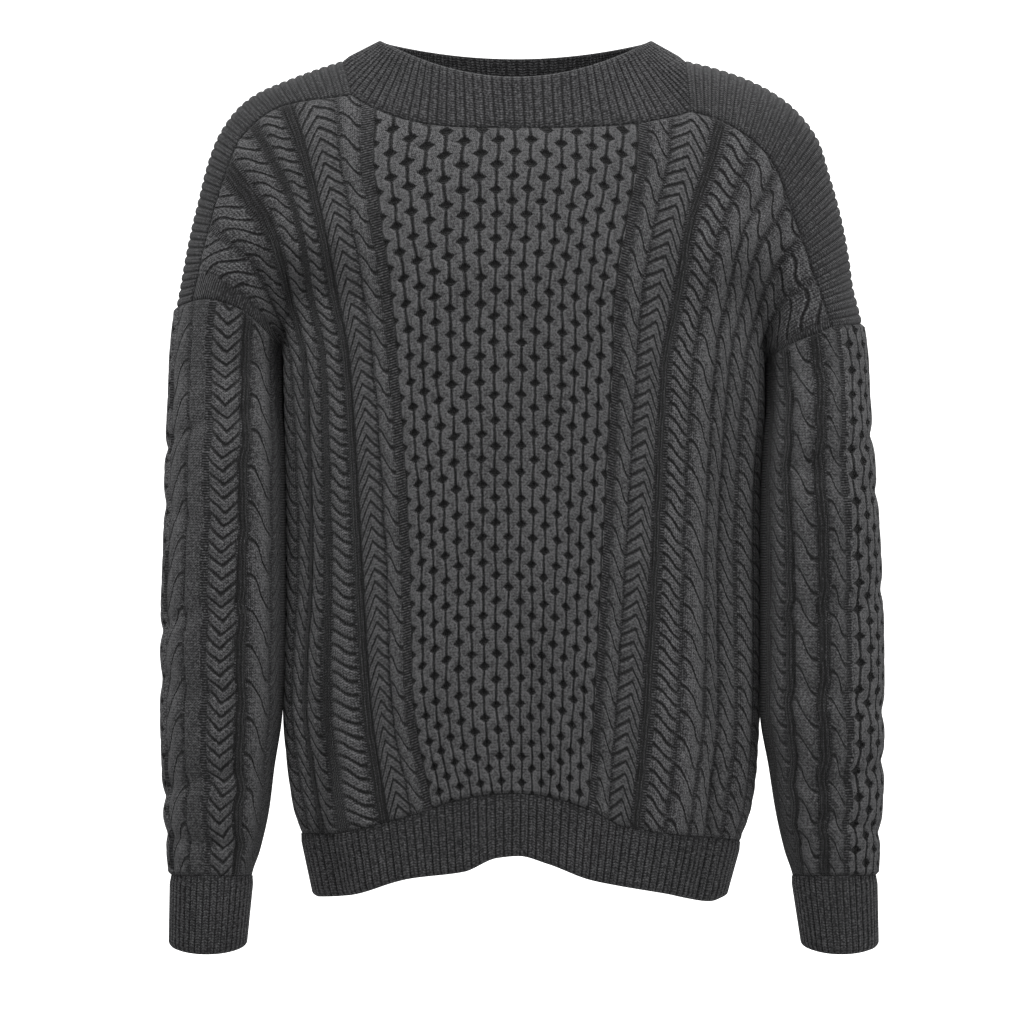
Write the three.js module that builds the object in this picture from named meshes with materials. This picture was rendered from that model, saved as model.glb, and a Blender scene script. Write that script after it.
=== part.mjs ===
// Cable knit sweater, filled out with no wearer in it.
// Millimetres, +Z up, the front faces -Y, the wearer's right is at -X.
// The origin lies between the shoulders, level with the sides of the neck.
import * as THREE from 'three';

// Cloth
const wall = 2.6; // plain cloth between its two faces
const seamGap = 0.3; // between two pieces at a seam
const innerBevel = 2; // a sewn-on piece's inner edge stands back this much more
const outerBevel = 0.5; // and its outer edge this much
const armholeBevel = 2.4; // a sleeve's outer edge, where it turns sharply under the arm
const seamMargin = 0.06; // share of a panel where its cables fade out at a seam

// Cables and ribs, as heights above the plain cloth and sizes along it
const cableHeight = 2.8;
const cableLow = 1.1; // a rope between two of its lobes
const chevronHeight = 2.0;
const lineHeight = 1.5;
const mossHeight = 0.6;
const ribHeight = 1.5;
const cellRows = 26; // honeycomb cells from the neckline to the hem rib
const collarRibs = 106;
const hemRibs = 136;
const cuffRibs = 40;
const strapRibs = 38;

// Main seams and edges
const armpitStation = 0.35; // share of a panel's length, from the top
const neckSeam = { halfWidth: 139, front: 82, back: 74 };
const collarTurn = 0.2; // in radians, how far round the rim the collar's ribs lean to its sides at most
const collarRim = { x: -2.7, halfWidth: 103, front: 66, back: 56, side: 16, frontDip: 28.5, backDip: 12 };
const strapEnds = { right: -191, left: -204 }; // level of the ridge where a strap meets the sleeve
const hemTop = { right: -168.5, left: 173 };
const hemEdge = { right: -158, left: 161, depthShare: 0.955 };

// Forms of the level sections: a power of 2 is an ellipse, and more is squarer
const shoulderPower = 2.1;
const bodyPower = 2.4;
const creaseTop = -105; // above it, body and arms are one rounded section
const creaseBottom = -190; // below it, they are apart but for the web between them
const webDepth = 88;
const webPower = 0.6;
const unionPower = 5;
const roundingStart = 0.27; // station from which the panels begin to close round the body
const steepestTurn = 0.97; // sine of the turn that the guide wales reach at most
const foldStart = 0.3; // share of a fold's length over which it grows to its full depth
const calmPower = 6; // how near the side seams the folds fade out
const backLiftPower = 4; // form of the back neckline's rise, flat over the middle
const near = 1e-6; // two points or places this close are one

// Outline of the shoulders and upper arms from the front, down to the armholes
const shoulderOutline = [
  { z: 0, right: -137, left: 129 },
  { z: -5, right: -153, left: 150 },
  { z: -13.7, right: -177, left: 176 },
  { z: -25.4, right: -204, left: 199 },
  { z: -36, right: -218, left: 213 },
  { z: -50, right: -229, left: 225.4 },
  { z: -64, right: -236.5, left: 233.8 },
  { z: -86, right: -243.9, left: 240.6 },
  { z: -108, right: -249.2, left: 247 },
  { z: -128, right: -254.2, left: 251.9 },
  { z: -155, right: -259.7, left: 256.8 },
  { z: -175, right: -263.2, left: 259.5 },
  { z: -204, right: -268, left: 266.3 },
  { z: -245, right: -270.5, left: 270 },
];

// Body between the sleeves: side seams from the front, and half depths to the front and back
const bodySections = [
  { z: 0, right: -137, left: 129, front: 40, back: 40 },
  { z: -12, right: -168, left: 170, front: 52, back: 50 },
  { z: -34, right: -190, left: 190, front: 70, back: 64 },
  { z: -53, right: -196, left: 198, front: 82, back: 73 },
  { z: -90, right: -199, left: 203, front: 96, back: 86 },
  { z: -130, right: -196, left: 202, front: 105, back: 95 },
  { z: -186, right: -181, left: 189, front: 112, back: 102 },
  { z: -235.5, right: -184, left: 191.9, front: 113, back: 105 },
  { z: -264, right: -183.6, left: 192, front: 113, back: 105 },
  { z: -342, right: -182.3, left: 188.4, front: 113, back: 105 },
  { z: -420, right: -182.3, left: 188.4, front: 111, back: 105 },
  { z: -505, right: -184, left: 187.4, front: 108, back: 103 },
  { z: -551, right: -180.5, left: 185, front: 105, back: 101 },
  { z: -583, right: -175.5, left: 180.5, front: 103, back: 99 },
  { z: -604, right: -168.5, left: 173, front: 101, back: 97 },
  { z: -655, right: -158, left: 161, front: 97, back: 92 },
];

// Sleeves: outer and inner edges from the front, half depth, and how far forward they swing
const sleeveSections = {
  right: [
    { z: -180, outer: -264.5, inner: -182, depth: 60, forward: 0 },
    { z: -235, outer: -270.3, inner: -184, depth: 60, forward: 0 },
    { z: -264, outer: -271.3, inner: -184, depth: 59, forward: 9 },
    { z: -306, outer: -273.3, inner: -182, depth: 58, forward: 18 },
    { z: -374, outer: -274.5, inner: -181.3, depth: 57, forward: 22 },
    { z: -448, outer: -276.9, inner: -181.6, depth: 55, forward: 22 },
    { z: -508, outer: -276.9, inner: -184.2, depth: 52, forward: 21 },
    { z: -551, outer: -275.7, inner: -190.5, depth: 48, forward: 20 },
    { z: -583, outer: -274.8, inner: -194.5, depth: 45, forward: 20 },
    { z: -614, outer: -272.2, inner: -201.5, depth: 40, forward: 19 },
    { z: -634, outer: -270.5, inner: -208, depth: 36, forward: 19 },
    { z: -693, outer: -271.5, inner: -214, depth: 33, forward: 20 },
  ],
  left: [
    { z: -180, outer: 260.5, inner: 187, depth: 58, forward: 0 },
    { z: -237, outer: 269.6, inner: 191.9, depth: 60, forward: 0 },
    { z: -264, outer: 271.3, inner: 192.6, depth: 59, forward: 9 },
    { z: -306, outer: 274.4, inner: 189.1, depth: 58, forward: 18 },
    { z: -374, outer: 278.8, inner: 187.4, depth: 57, forward: 22 },
    { z: -428, outer: 281.3, inner: 187.4, depth: 55, forward: 22 },
    { z: -505, outer: 282, inner: 187.4, depth: 53, forward: 21 },
    { z: -551, outer: 281.8, inner: 194.5, depth: 48, forward: 20 },
    { z: -583, outer: 280.4, inner: 199.5, depth: 45, forward: 20 },
    { z: -614, outer: 278.6, inner: 206.5, depth: 40, forward: 19 },
    { z: -634, outer: 277.6, inner: 213, depth: 36, forward: 19 },
    { z: -693, outer: 278.8, inner: 222, depth: 33, forward: 20 },
  ],
};
const cuffTopZ = -634;
const cuffBottomZ = -690;
const cuffDip = 5; // the cuff's front and back hang lower than its sides

// Guide wales of a panel: places across the flat panel, and where they lie from the front at each station
const wales = {
  flat: [-246, -215, -185, -149, -105.5, 0, 129, 149, 185, 230, 277],
  names: [
    'rightSeam', 'rightArm', 'rightRope', 'rightLine', 'rightNeck', 'middle',
    'leftNeck', 'leftLine', 'leftRope', 'leftArm', 'leftSeam',
  ],
};
const stations = [0, 0.05, 0.148, 0.257, 0.35, 0.65, 0.861, 1];
const across = [
  { rightSeam: -254.3, rightArm: -236, rightRope: -215.3, rightLine: -181, rightNeck: -130, middle: -3.1,
    leftNeck: 133, leftLine: 156, leftRope: 194, leftArm: 216, leftSeam: 243 },
  { rightSeam: -244.1, rightArm: -226, rightRope: -200.5, rightLine: -168.5, rightNeck: -129.5, middle: -3.9,
    leftNeck: 129, leftLine: 147.5, leftRope: 187.5, leftArm: 209, leftSeam: 234 },
  { rightSeam: -223.9, rightArm: -203, rightRope: -178.6, rightLine: -153.7, rightNeck: -120.9, middle: -6.2,
    leftNeck: 116.2, leftLine: 131.8, leftRope: 170.8, leftArm: 193, leftSeam: 218 },
  { rightSeam: -202, rightArm: -186, rightRope: -167.7, rightLine: -142, rightNeck: -111.5, middle: -7.8,
    leftNeck: 106.1, leftLine: 121.7, leftRope: 155.2, leftArm: 179.5, leftSeam: 203.6 },
  { rightSeam: -184, rightArm: -172.5, rightRope: -157.6, rightLine: -133.4, rightNeck: -106.1, middle: -8.6,
    leftNeck: 100.6, leftLine: 112.3, leftRope: 146.6, leftArm: 171, leftSeam: 191.9 },
  { rightSeam: -173.5, rightArm: -166, rightRope: -154.4, rightLine: -124, rightNeck: -95.9, middle: -8.6,
    leftNeck: 91.5, leftLine: 104.5, leftRope: 138.8, leftArm: 162, leftSeam: 179 },
  { rightSeam: -183, rightArm: -172, rightRope: -158.3, rightLine: -117.8, rightNeck: -92.8, middle: -8.6,
    leftNeck: 84.8, leftLine: 98.3, leftRope: 137.3, leftArm: 163.5, leftSeam: 186 },
  { rightSeam: -169, rightArm: -158.5, rightRope: -145.1, rightLine: -103.7, rightNeck: -77.2, middle: -5.5,
    leftNeck: 77.3, leftLine: 89.7, leftRope: 125.6, leftArm: 152, leftSeam: 172.5 },
];
const levels = [
  { rightSeam: -187.2, rightArm: -113, rightRope: -59.3, rightLine: -34.5, rightNeck: -27, middle: -53,
    leftNeck: -40, leftLine: -47, leftRope: -76, leftArm: -130, leftSeam: -207 },
  { rightSeam: -185.6, rightArm: -124, rightRope: -81.1, rightLine: -68.6, rightNeck: -67.1, middle: -78.8,
    leftNeck: -76, leftLine: -79, leftRope: -97, leftArm: -138, leftSeam: -211.4 },
  { rightSeam: -190.3, rightArm: -150, rightRope: -124.8, rightLine: -127.9, rightNeck: -127.9, middle: -129.5,
    leftNeck: -129.5, leftLine: -127.9, leftRope: -127.9, leftArm: -158, leftSeam: -217.5 },
  { rightSeam: -205.1, rightArm: -191, rightRope: -184.1, rightLine: -186.4, rightNeck: -186.4, middle: -185.6,
    leftNeck: -185.6, leftLine: -186.4, leftRope: -185.6, leftArm: -198, leftSeam: -225 },
  { rightSeam: -234, rightArm: -234, rightRope: -234, rightLine: -234, rightNeck: -234, middle: -234,
    leftNeck: -234, leftLine: -234, leftRope: -235, leftArm: -236, leftSeam: -237 },
  { rightSeam: -388.4, rightArm: -388.4, rightRope: -388.4, rightLine: -388.4, rightNeck: -388.4, middle: -388.4,
    leftNeck: -388.4, leftLine: -388.4, leftRope: -388.4, leftArm: -388.4, leftSeam: -388.4 },
  { rightSeam: -498, rightArm: -498, rightRope: -498, rightLine: -497, rightNeck: -496, middle: -494,
    leftNeck: -497, leftLine: -498, leftRope: -500, leftArm: -501, leftSeam: -502 },
  { rightSeam: -601.4, rightArm: -601.4, rightRope: -601.4, rightLine: -592, rightNeck: -585, middle: -569.4,
    leftNeck: -594.4, leftLine: -596.7, leftRope: -602.2, leftArm: -604.5, leftSeam: -608.4 },
];
const backNeckRise = 13; // the back neckline is this much higher than the front's
const neckRiseEnd = 0.3; // station where that rise has faded out
const neckCurveEnd = 0.12; // station where the neckline's curve has faded out
const necklineCurve = 3.5; // power of the neckline's curve, flat in front and steep at the sides
const hemDrop = [ // the hem rib's lower edge from the front, and what the back's is higher by
  { x: -160, z: -651, backRise: 0 },
  { x: -136, z: -649.5, backRise: 2 },
  { x: -86, z: -635.7, backRise: 4 },
  { x: -43, z: -630, backRise: 4 },
  { x: -17, z: -619.3, backRise: 4 },
  { x: 0, z: -617.8, backRise: 4 },
  { x: 22, z: -624, backRise: 4 },
  { x: 56, z: -636.5, backRise: 4 },
  { x: 114, z: -647.4, backRise: 3 },
  { x: 150, z: -654, backRise: 1 },
  { x: 163, z: -650, backRise: 0 },
];

// Folds: a soft trough down each panel, by its line, its ends, its width and its depth
const folds = {
  front: [
    { xTop: -163, zTop: -260, xEnd: -154, zEnd: -600, width: 15, depth: 17 },
    { xTop: 10, zTop: -420, xEnd: 22, zEnd: -640, width: 20, depth: 7 },
    { xTop: 160, zTop: -250, xEnd: 150, zEnd: -600, width: 13, depth: 10 },
    { xTop: -60, zTop: -470, xEnd: -72, zEnd: -640, width: 22, depth: 4 },
  ],
  back: [
    { xTop: 158, zTop: -260, xEnd: 154, zEnd: -590, width: 15, depth: 13 },
    { xTop: -150, zTop: -300, xEnd: -146, zEnd: -600, width: 14, depth: 7 },
    { xTop: 34, zTop: -380, xEnd: 20, zEnd: -640, width: 24, depth: 6 },
    { xTop: -40, zTop: -440, xEnd: -52, zEnd: -640, width: 20, depth: 5 },
  ],
};

const clamp = (value, low, high) => Math.min(high, Math.max(low, value));
const mix = (a, b, share) => a + (b - a) * share;
const smoothStep = (from, to, value) => {
  const share = clamp((value - from) / (to - from), 0, 1);
  return share * share * (3 - 2 * share);
};

// A smooth curve through points with rising x that never overshoots them
function smoothCurve(xs, ys) {
  const last = xs.length - 1;
  const slope = (i) => (ys[i + 1] - ys[i]) / (xs[i + 1] - xs[i]);
  const tangents = xs.map((_, i) => {
    if (i === 0) return slope(0);
    if (i === last) return slope(last - 1);
    const before = slope(i - 1);
    const after = slope(i);
    return before * after <= 0 ? 0 : (2 * before * after) / (before + after);
  });
  return (x) => {
    if (x <= xs[0]) return ys[0];
    if (x >= xs[last]) return ys[last];
    const i = xs.findIndex((value) => value > x) - 1;
    const step = xs[i + 1] - xs[i];
    const s = (x - xs[i]) / step;
    const bend = s * (1 - s) * ((1 - s) * (tangents[i] - slope(i)) - s * (tangents[i + 1] - slope(i)));
    return mix(ys[i], ys[i + 1], s) + step * bend;
  };
}

// One column of a table whose rows are listed from high z to low z
function byHeight(rows, name) {
  const up = [...rows].reverse();
  return smoothCurve(up.map((row) => row.z), up.map((row) => row[name]));
}

const shoulder = { right: byHeight(shoulderOutline, 'right'), left: byHeight(shoulderOutline, 'left') };
const body = {
  right: byHeight(bodySections, 'right'),
  left: byHeight(bodySections, 'left'),
  front: byHeight(bodySections, 'front'),
  back: byHeight(bodySections, 'back'),
};
const sleeve = {};
for (const side of ['right', 'left']) {
  sleeve[side] = {};
  for (const name of ['outer', 'inner', 'depth', 'forward']) {
    sleeve[side][name] = byHeight(sleeveSections[side], name);
  }
}

// Half depth of a rounded section at x, between its two edges
function lobe(x, low, high, depth, power) {
  const u = Math.abs((2 * x - low - high) / (high - low));
  return u >= 1 ? 0 : depth * (1 - u ** power) ** (1 / power);
}

// Depth of the garment's plain face in front of or behind the middle plane, above the armpits
function shoulderDepth(x, z, side) {
  const depth = body[side](z);
  const whole = lobe(x, shoulder.right(z), shoulder.left(z), depth, shoulderPower);
  const apart = smoothStep(creaseTop, creaseBottom, z);
  if (apart === 0) return whole;
  const arm = x < 0 ? sleeve.right : sleeve.left;
  const outline = x < 0 ? shoulder.right(z) : shoulder.left(z);
  const edges = [outline, arm.inner(z)].sort((a, b) => a - b);
  const armDepth = lobe(x, edges[0], edges[1], arm.depth(z), 2);
  const torso = lobe(x, body.right(z), body.left(z), depth, bodyPower);
  const armpit = x < 0 ? levels[4].rightSeam : levels[4].leftSeam;
  const aboveArmpit = Math.max(0, z - armpit) / (creaseTop - armpit);
  const inside = smoothStep((outline + arm.inner(z)) / 2, arm.inner(z), x);
  const web = webDepth * aboveArmpit ** webPower * inside;
  const joined = (armDepth ** unionPower + torso ** unionPower + web ** unionPower) ** (1 / unionPower);
  return mix(whole, joined, apart);
}

function foldDepth(x, z, side) {
  let sum = 0;
  for (const fold of folds[side]) {
    const share = (z - fold.zTop) / (fold.zEnd - fold.zTop);
    const aside = (x - mix(fold.xTop, fold.xEnd, share)) / fold.width;
    sum += fold.depth * Math.exp(-aside * aside) * smoothStep(0, foldStart, share);
  }
  return sum;
}

// Station curves of one table column, with a kink at the armpit for the seams
function stationCurve(table, name) {
  const ys = table.map((row) => row[name]);
  if (!name.endsWith('Seam')) return smoothCurve(stations, ys);
  const upper = smoothCurve(stations.slice(0, 5), ys.slice(0, 5));
  const lower = smoothCurve(stations.slice(4), ys.slice(4));
  return (t) => (t <= armpitStation ? upper(t) : lower(t));
}

const acrossAt = wales.names.map((name) => stationCurve(across, name));
const levelAt = wales.names.map((name) => stationCurve(levels, name));
const middle = wales.names.indexOf('middle');
const neckWales = { right: wales.names.indexOf('rightNeck'), left: wales.names.indexOf('leftNeck') };
const neckEdges = { right: wales.flat[neckWales.right], left: wales.flat[neckWales.left] };

const sign = (side) => (side === 'front' ? -1 : 1);

// A point of a panel's plain face: s across the flat panel in mm, t down it from 0 to 1
function panelPoint(side, s, t) {
  const rise = side === 'back' ? backNeckRise * (1 - smoothStep(0, neckRiseEnd, t)) : 0;
  const xs = acrossAt.map((curve) => curve(t));
  const zs = levelAt.map((curve) => curve(t));
  let z;
  if (s > neckEdges.right && s < neckEdges.left) {
    const edge = s < 0 ? neckWales.right : neckWales.left;
    const share = Math.abs(s / wales.flat[edge]);
    const power = mix(2, necklineCurve, 1 - smoothStep(0, neckCurveEnd, t));
    const lift = rise * (1 - share ** backLiftPower);
    z = mix(zs[middle], zs[edge], share ** power) + lift;
  } else if (s < 0) {
    z = smoothCurve(wales.flat.slice(0, middle), zs.slice(0, middle))(s);
  } else {
    z = smoothCurve(wales.flat.slice(middle + 1), zs.slice(middle + 1))(s);
  }
  const plain = smoothCurve(wales.flat, xs)(s);
  const below = smoothStep(roundingStart, armpitStation, t);
  if (below === 0) {
    return new THREE.Vector3(plain, sign(side) * shoulderDepth(plain, z, side), z);
  }
  const low = body.right(z);
  const high = body.left(z);
  const centre = (low + high) / 2;
  const half = (high - low) / 2;
  const turns = xs.map((x, i) => {
    if (i === 0) return -Math.PI / 2;
    if (i === xs.length - 1) return Math.PI / 2;
    return Math.asin(clamp((x - centre) / half, -steepestTurn, steepestTurn));
  });
  const turn = smoothCurve(wales.flat, turns)(s);
  const rounded = centre + half * Math.sin(turn);
  if (t >= armpitStation) {
    const u = Math.abs(Math.sin(turn));
    const profile = (1 - Math.min(1, u) ** bodyPower) ** (1 / bodyPower);
    const calm = 1 - u ** calmPower;
    const depth = Math.max(0, body[side](z) * profile - foldDepth(rounded, z, side) * calm);
    return new THREE.Vector3(rounded, sign(side) * depth, z);
  }
  const x = mix(plain, rounded, below);
  return new THREE.Vector3(x, sign(side) * shoulderDepth(x, z, side), z);
}

// Outward direction of a surface at (a, b), from the points beside it
function outward(surface, a, b, low, high, step, flip) {
  const along = surface(Math.min(high[0], a + step[0]), b).sub(surface(Math.max(low[0], a - step[0]), b));
  const down = surface(a, Math.min(high[1], b + step[1])).sub(surface(a, Math.max(low[1], b - step[1])));
  return along.cross(down).normalize().multiplyScalar(flip);
}

// The two faces of the wall at one point
function faces(point, normal, height = 0) {
  return {
    outer: point.clone().addScaledVector(normal, height),
    inner: point.clone().addScaledVector(normal, -wall),
  };
}

function panelNormal(side, s, t) {
  const low = wales.flat[0];
  const high = wales.flat[wales.flat.length - 1];
  const edge = s === low || s === high;
  if (edge && Math.abs(t - armpitStation) < near) return new THREE.Vector3(0, 0, -1);
  const surface = (a, b) => panelPoint(side, a, b);
  const tLow = edge && t > armpitStation ? armpitStation : 0;
  const normal = outward(surface, s, t, [low, tLow], [high, 1], [1.5, 0.006], sign(side));
  if (edge && t > armpitStation) normal.setY(0).normalize();
  return normal;
}

// Triangles between two chains of points that run the same way, matched by their keys
function zip(chainA, chainB, triangles) {
  let a = 0;
  let b = 0;
  while (a < chainA.length - 1 || b < chainB.length - 1) {
    const nextA = a < chainA.length - 1 ? chainA[a + 1].key : Infinity;
    const nextB = b < chainB.length - 1 ? chainB[b + 1].key : Infinity;
    if (nextA <= nextB) {
      triangles.push([chainA[a].id, chainA[a + 1].id, chainB[b].id]);
      a += 1;
    } else {
      triangles.push([chainA[a].id, chainB[b + 1].id, chainB[b].id]);
      b += 1;
    }
  }
}

// A closed wall from an outer and an inner sheet, each a list of columns of { key, point }
// Each column has a place across the wall, and closed walls join their last column to their first
function wallGeometry(outerColumns, innerColumns, closed) {
  const positions = [];
  const triangles = [];
  const number = (column) => {
    column.chain = column.points.map(({ key, point }) => {
      positions.push(point.x, point.y, point.z);
      return { key, id: positions.length / 3 - 1 };
    });
  };
  [...outerColumns, ...innerColumns].forEach(number);
  const strips = (columns, forward) => {
    const count = closed ? columns.length : columns.length - 1;
    for (let i = 0; i < count; i += 1) {
      const here = columns[i].chain;
      const next = columns[(i + 1) % columns.length].chain;
      if (forward) zip(here, next, triangles);
      else zip(next, here, triangles);
    }
  };
  strips(outerColumns, true);
  strips(innerColumns, false);
  const edge = (columns, end) => {
    const chain = columns.map((column) => ({ key: column.place, id: column.chain.at(end).id }));
    if (closed) chain.push({ key: columns[0].place + 1, id: chain[0].id });
    return chain;
  };
  zip(edge(outerColumns, 0), edge(innerColumns, 0), triangles);
  zip(edge(innerColumns, -1), edge(outerColumns, -1), triangles);
  if (!closed) {
    zip(innerColumns[0].chain, outerColumns[0].chain, triangles);
    zip(outerColumns.at(-1).chain, innerColumns.at(-1).chain, triangles);
  }
  let volume = 0;
  const corner = (id) => new THREE.Vector3().fromArray(positions, id * 3);
  for (const [a, b, c] of triangles) volume += corner(a).dot(corner(b).cross(corner(c)));
  if (volume < 0) triangles.forEach((triangle) => triangle.reverse());
  const geometry = new THREE.BufferGeometry();
  geometry.setAttribute('position', new THREE.Float32BufferAttribute(positions, 3));
  geometry.setIndex(triangles.flat());
  geometry.computeVertexNormals();
  return geometry;
}

// Moves the end points of a column along it by half a seam's gap
function drawBack(points, ends, extra = 0) {
  for (const end of ends) {
    const here = points.at(end).point;
    const next = points.at(end === 0 ? 1 : -2).point;
    here.addScaledVector(next.clone().sub(here).normalize(), seamGap / 2 + extra);
  }
}

// Panel columns. Each has its place on the flat panel, its form, and how many rows it has
const sideColumns = [
  { s: 98, height: mossHeight },
  { s: 105.5, height: cableHeight, rope: true },
  { s: 113, height: mossHeight },
  { s: 129, height: chevronHeight },
  { s: 143, height: 0 },
  { s: 149, height: lineHeight },
  { s: 155, height: 0 },
  { s: 163, height: cableHeight, rope: true },
  { s: 172, height: mossHeight },
  { s: 185, height: cableHeight, rope: true },
];
const seamShares = [0, 0.25, 0.5, 0.75, 1]; // further columns between the last rope and the seam
const seamHeights = [0, mossHeight, chevronHeight, 0, 0]; // the last of them are plain under the arms
const halfCell = 11.25;
const halfCells = 8;
const armholeRows = [0, 0.06, 0.12, 0.18, 0.24, 0.29, 0.325, armpitStation];
const sideRows = 12;

// Places of the inner face's columns and rows, which are fewer as that face is plain
const innerSides = { right: [-185, -160, -132], middle: [-70, -35, 0, 43, 86], left: [157, 185] };
const innerRows = [...armholeRows, 0.4, 0.45, 0.5, 0.56, 0.62, 0.68, 0.74, 0.8, 0.86, 0.92, 0.965, 1];

function panelColumns() {
  const columns = [];
  for (let i = -halfCells; i <= halfCells; i += 1) {
    columns.push({ s: i * halfCell, rows: 2 * cellRows, cell: i });
  }
  for (const direction of [-1, 1]) {
    for (const column of sideColumns) {
      columns.push({ ...column, s: direction * column.s, rows: column.rope ? 2 * cellRows : cellRows });
    }
    const seam = direction < 0 ? wales.flat[0] : wales.flat.at(-1);
    for (let i = 1; i < seamShares.length; i += 1) {
      const s = mix(direction * sideColumns.at(-1).s, seam, seamShares[i]);
      columns.push({ s, rows: cellRows, height: seamHeights[i] });
    }
  }
  return columns.sort((a, b) => a.s - b.s);
}

function rowsOf(column) {
  const seam = column.s === wales.flat[0] || column.s === wales.flat.at(-1);
  if (!seam) return Array.from({ length: column.rows + 1 }, (_, i) => i / column.rows);
  const lower = Array.from({ length: sideRows }, (_, i) => mix(armpitStation, 1, (i + 1) / sideRows));
  return [...armholeRows, ...lower];
}

function reliefOf(column, t, row) {
  const fade = smoothStep(0, seamMargin / 2, t) * smoothStep(1, 1 - seamMargin / 2, t);
  if (column.cell !== undefined) {
    if (Math.abs(column.cell) === halfCells) return chevronHeight * fade;
    return (column.cell + row) % 2 === 0 ? 0 : cableHeight * fade;
  }
  if (column.rope) return (row % 2 === 0 ? cableHeight : cableLow) * fade;
  return column.height * fade;
}

const panels = {};

function makePanel(side) {
  const low = wales.flat[0];
  const high = wales.flat.at(-1);
  const place = (s) => (s - low) / (high - low);
  const outerColumns = panelColumns().map((column) => {
    const seam = column.s === low || column.s === high;
    const points = rowsOf(column).map((t, row) => {
      const normal = panelNormal(side, column.s, t);
      const height = seam ? 0 : reliefOf(column, t, row);
      return { key: t, point: faces(panelPoint(side, column.s, t), normal, height).outer };
    });
    return { s: column.s, place: place(column.s), points };
  });
  const innerS = [
    ...seamShares.slice(0, -1).map((share) => mix(low, innerSides.right[0], share)),
    ...innerSides.right, neckEdges.right, ...innerSides.middle, neckEdges.left, ...innerSides.left,
    ...seamShares.slice(1).map((share) => mix(innerSides.left.at(-1), high, share)),
  ];
  const innerColumns = innerS.map((s) => {
    const rows = s === low || s === high ? rowsOf({ s }) : innerRows;
    const points = rows.map((t) => {
      return { key: t, point: faces(panelPoint(side, s, t), panelNormal(side, s, t)).inner };
    });
    return { s, place: place(s), points };
  });
  panels[side] = seamsOf(outerColumns, innerColumns);
  for (const columns of [outerColumns, innerColumns]) {
    drawBackSide(columns[0], columns[1]);
    drawBackSide(columns.at(-1), columns.at(-2));
    columns.forEach((column) => drawBack(column.points, [0, -1]));
  }
  return wallGeometry(outerColumns, innerColumns, false);
}

// Moves a seam column towards its neighbour by half a seam's gap
function drawBackSide(column, neighbour) {
  for (const item of column.points) {
    const other = neighbour.points.reduce((best, candidate) => {
      return Math.abs(candidate.key - item.key) < Math.abs(best.key - item.key) ? candidate : best;
    });
    const direction = other.point.clone().sub(item.point).normalize();
    item.point.addScaledVector(direction, seamGap / 2);
  }
}

// A panel's seam lines, for the pieces that are sewn to it: outer and inner points with their keys
function seamsOf(outerColumns, innerColumns) {
  const pick = (columns, end) => columns.map((column) => {
    return { key: column.s, point: column.points.at(end).point.clone() };
  });
  const armhole = (column) => {
    const items = column.points.filter((item) => item.key <= armpitStation);
    return items.map((item) => ({ key: item.key, point: item.point.clone() }));
  };
  return {
    top: { outer: pick(outerColumns, 0), inner: pick(innerColumns, 0) },
    bottom: { outer: pick(outerColumns, -1), inner: pick(innerColumns, -1) },
    right: { outer: armhole(outerColumns[0]), inner: armhole(innerColumns[0]) },
    left: { outer: armhole(outerColumns.at(-1)), inner: armhole(innerColumns.at(-1)) },
  };
}

// The point of a line of { key, point } at a key
function onLine(line, key) {
  const rising = line[0].key <= line.at(-1).key;
  const list = rising ? line : [...line].reverse();
  if (key <= list[0].key) return list[0].point.clone();
  for (let i = 1; i < list.length; i += 1) {
    if (key <= list[i].key) {
      const share = (key - list[i - 1].key) / (list[i].key - list[i - 1].key);
      return list[i - 1].point.clone().lerp(list[i].point, share);
    }
  }
  return list.at(-1).point.clone();
}

// Keys at even lengths along a line, between two of its keys
function evenKeys(line, from, to, count) {
  const steps = 200;
  const keys = Array.from({ length: steps + 1 }, (_, i) => mix(from, to, i / steps));
  const lengths = [0];
  for (let i = 1; i <= steps; i += 1) {
    lengths.push(lengths[i - 1] + onLine(line, keys[i]).distanceTo(onLine(line, keys[i - 1])));
  }
  return Array.from({ length: count + 1 }, (_, i) => {
    if (i === count) return to;
    const wanted = (lengths[steps] * i) / count;
    const at = Math.max(1, lengths.findIndex((length) => length >= wanted));
    const share = (wanted - lengths[at - 1]) / (lengths[at] - lengths[at - 1]);
    return mix(keys[at - 1], keys[at], clamp(share, 0, 1));
  });
}

const crossings = [-1, -0.5, 0, 0.5, 1]; // across a strap, from the front seam to the back seam
const ridgeSteps = 80;
const straps = {};

// Ridge of the shoulder from the neck to the armhole, as z at even lengths
function ridge(side, endZ, count) {
  const line = Array.from({ length: ridgeSteps + 1 }, (_, i) => {
    const z = mix(0, endZ, i / ridgeSteps);
    return { key: -z, point: new THREE.Vector3(shoulder[side](z), 0, z) };
  });
  return evenKeys(line, 0, -endZ, count).map((key) => onLine(line, key));
}

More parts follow.
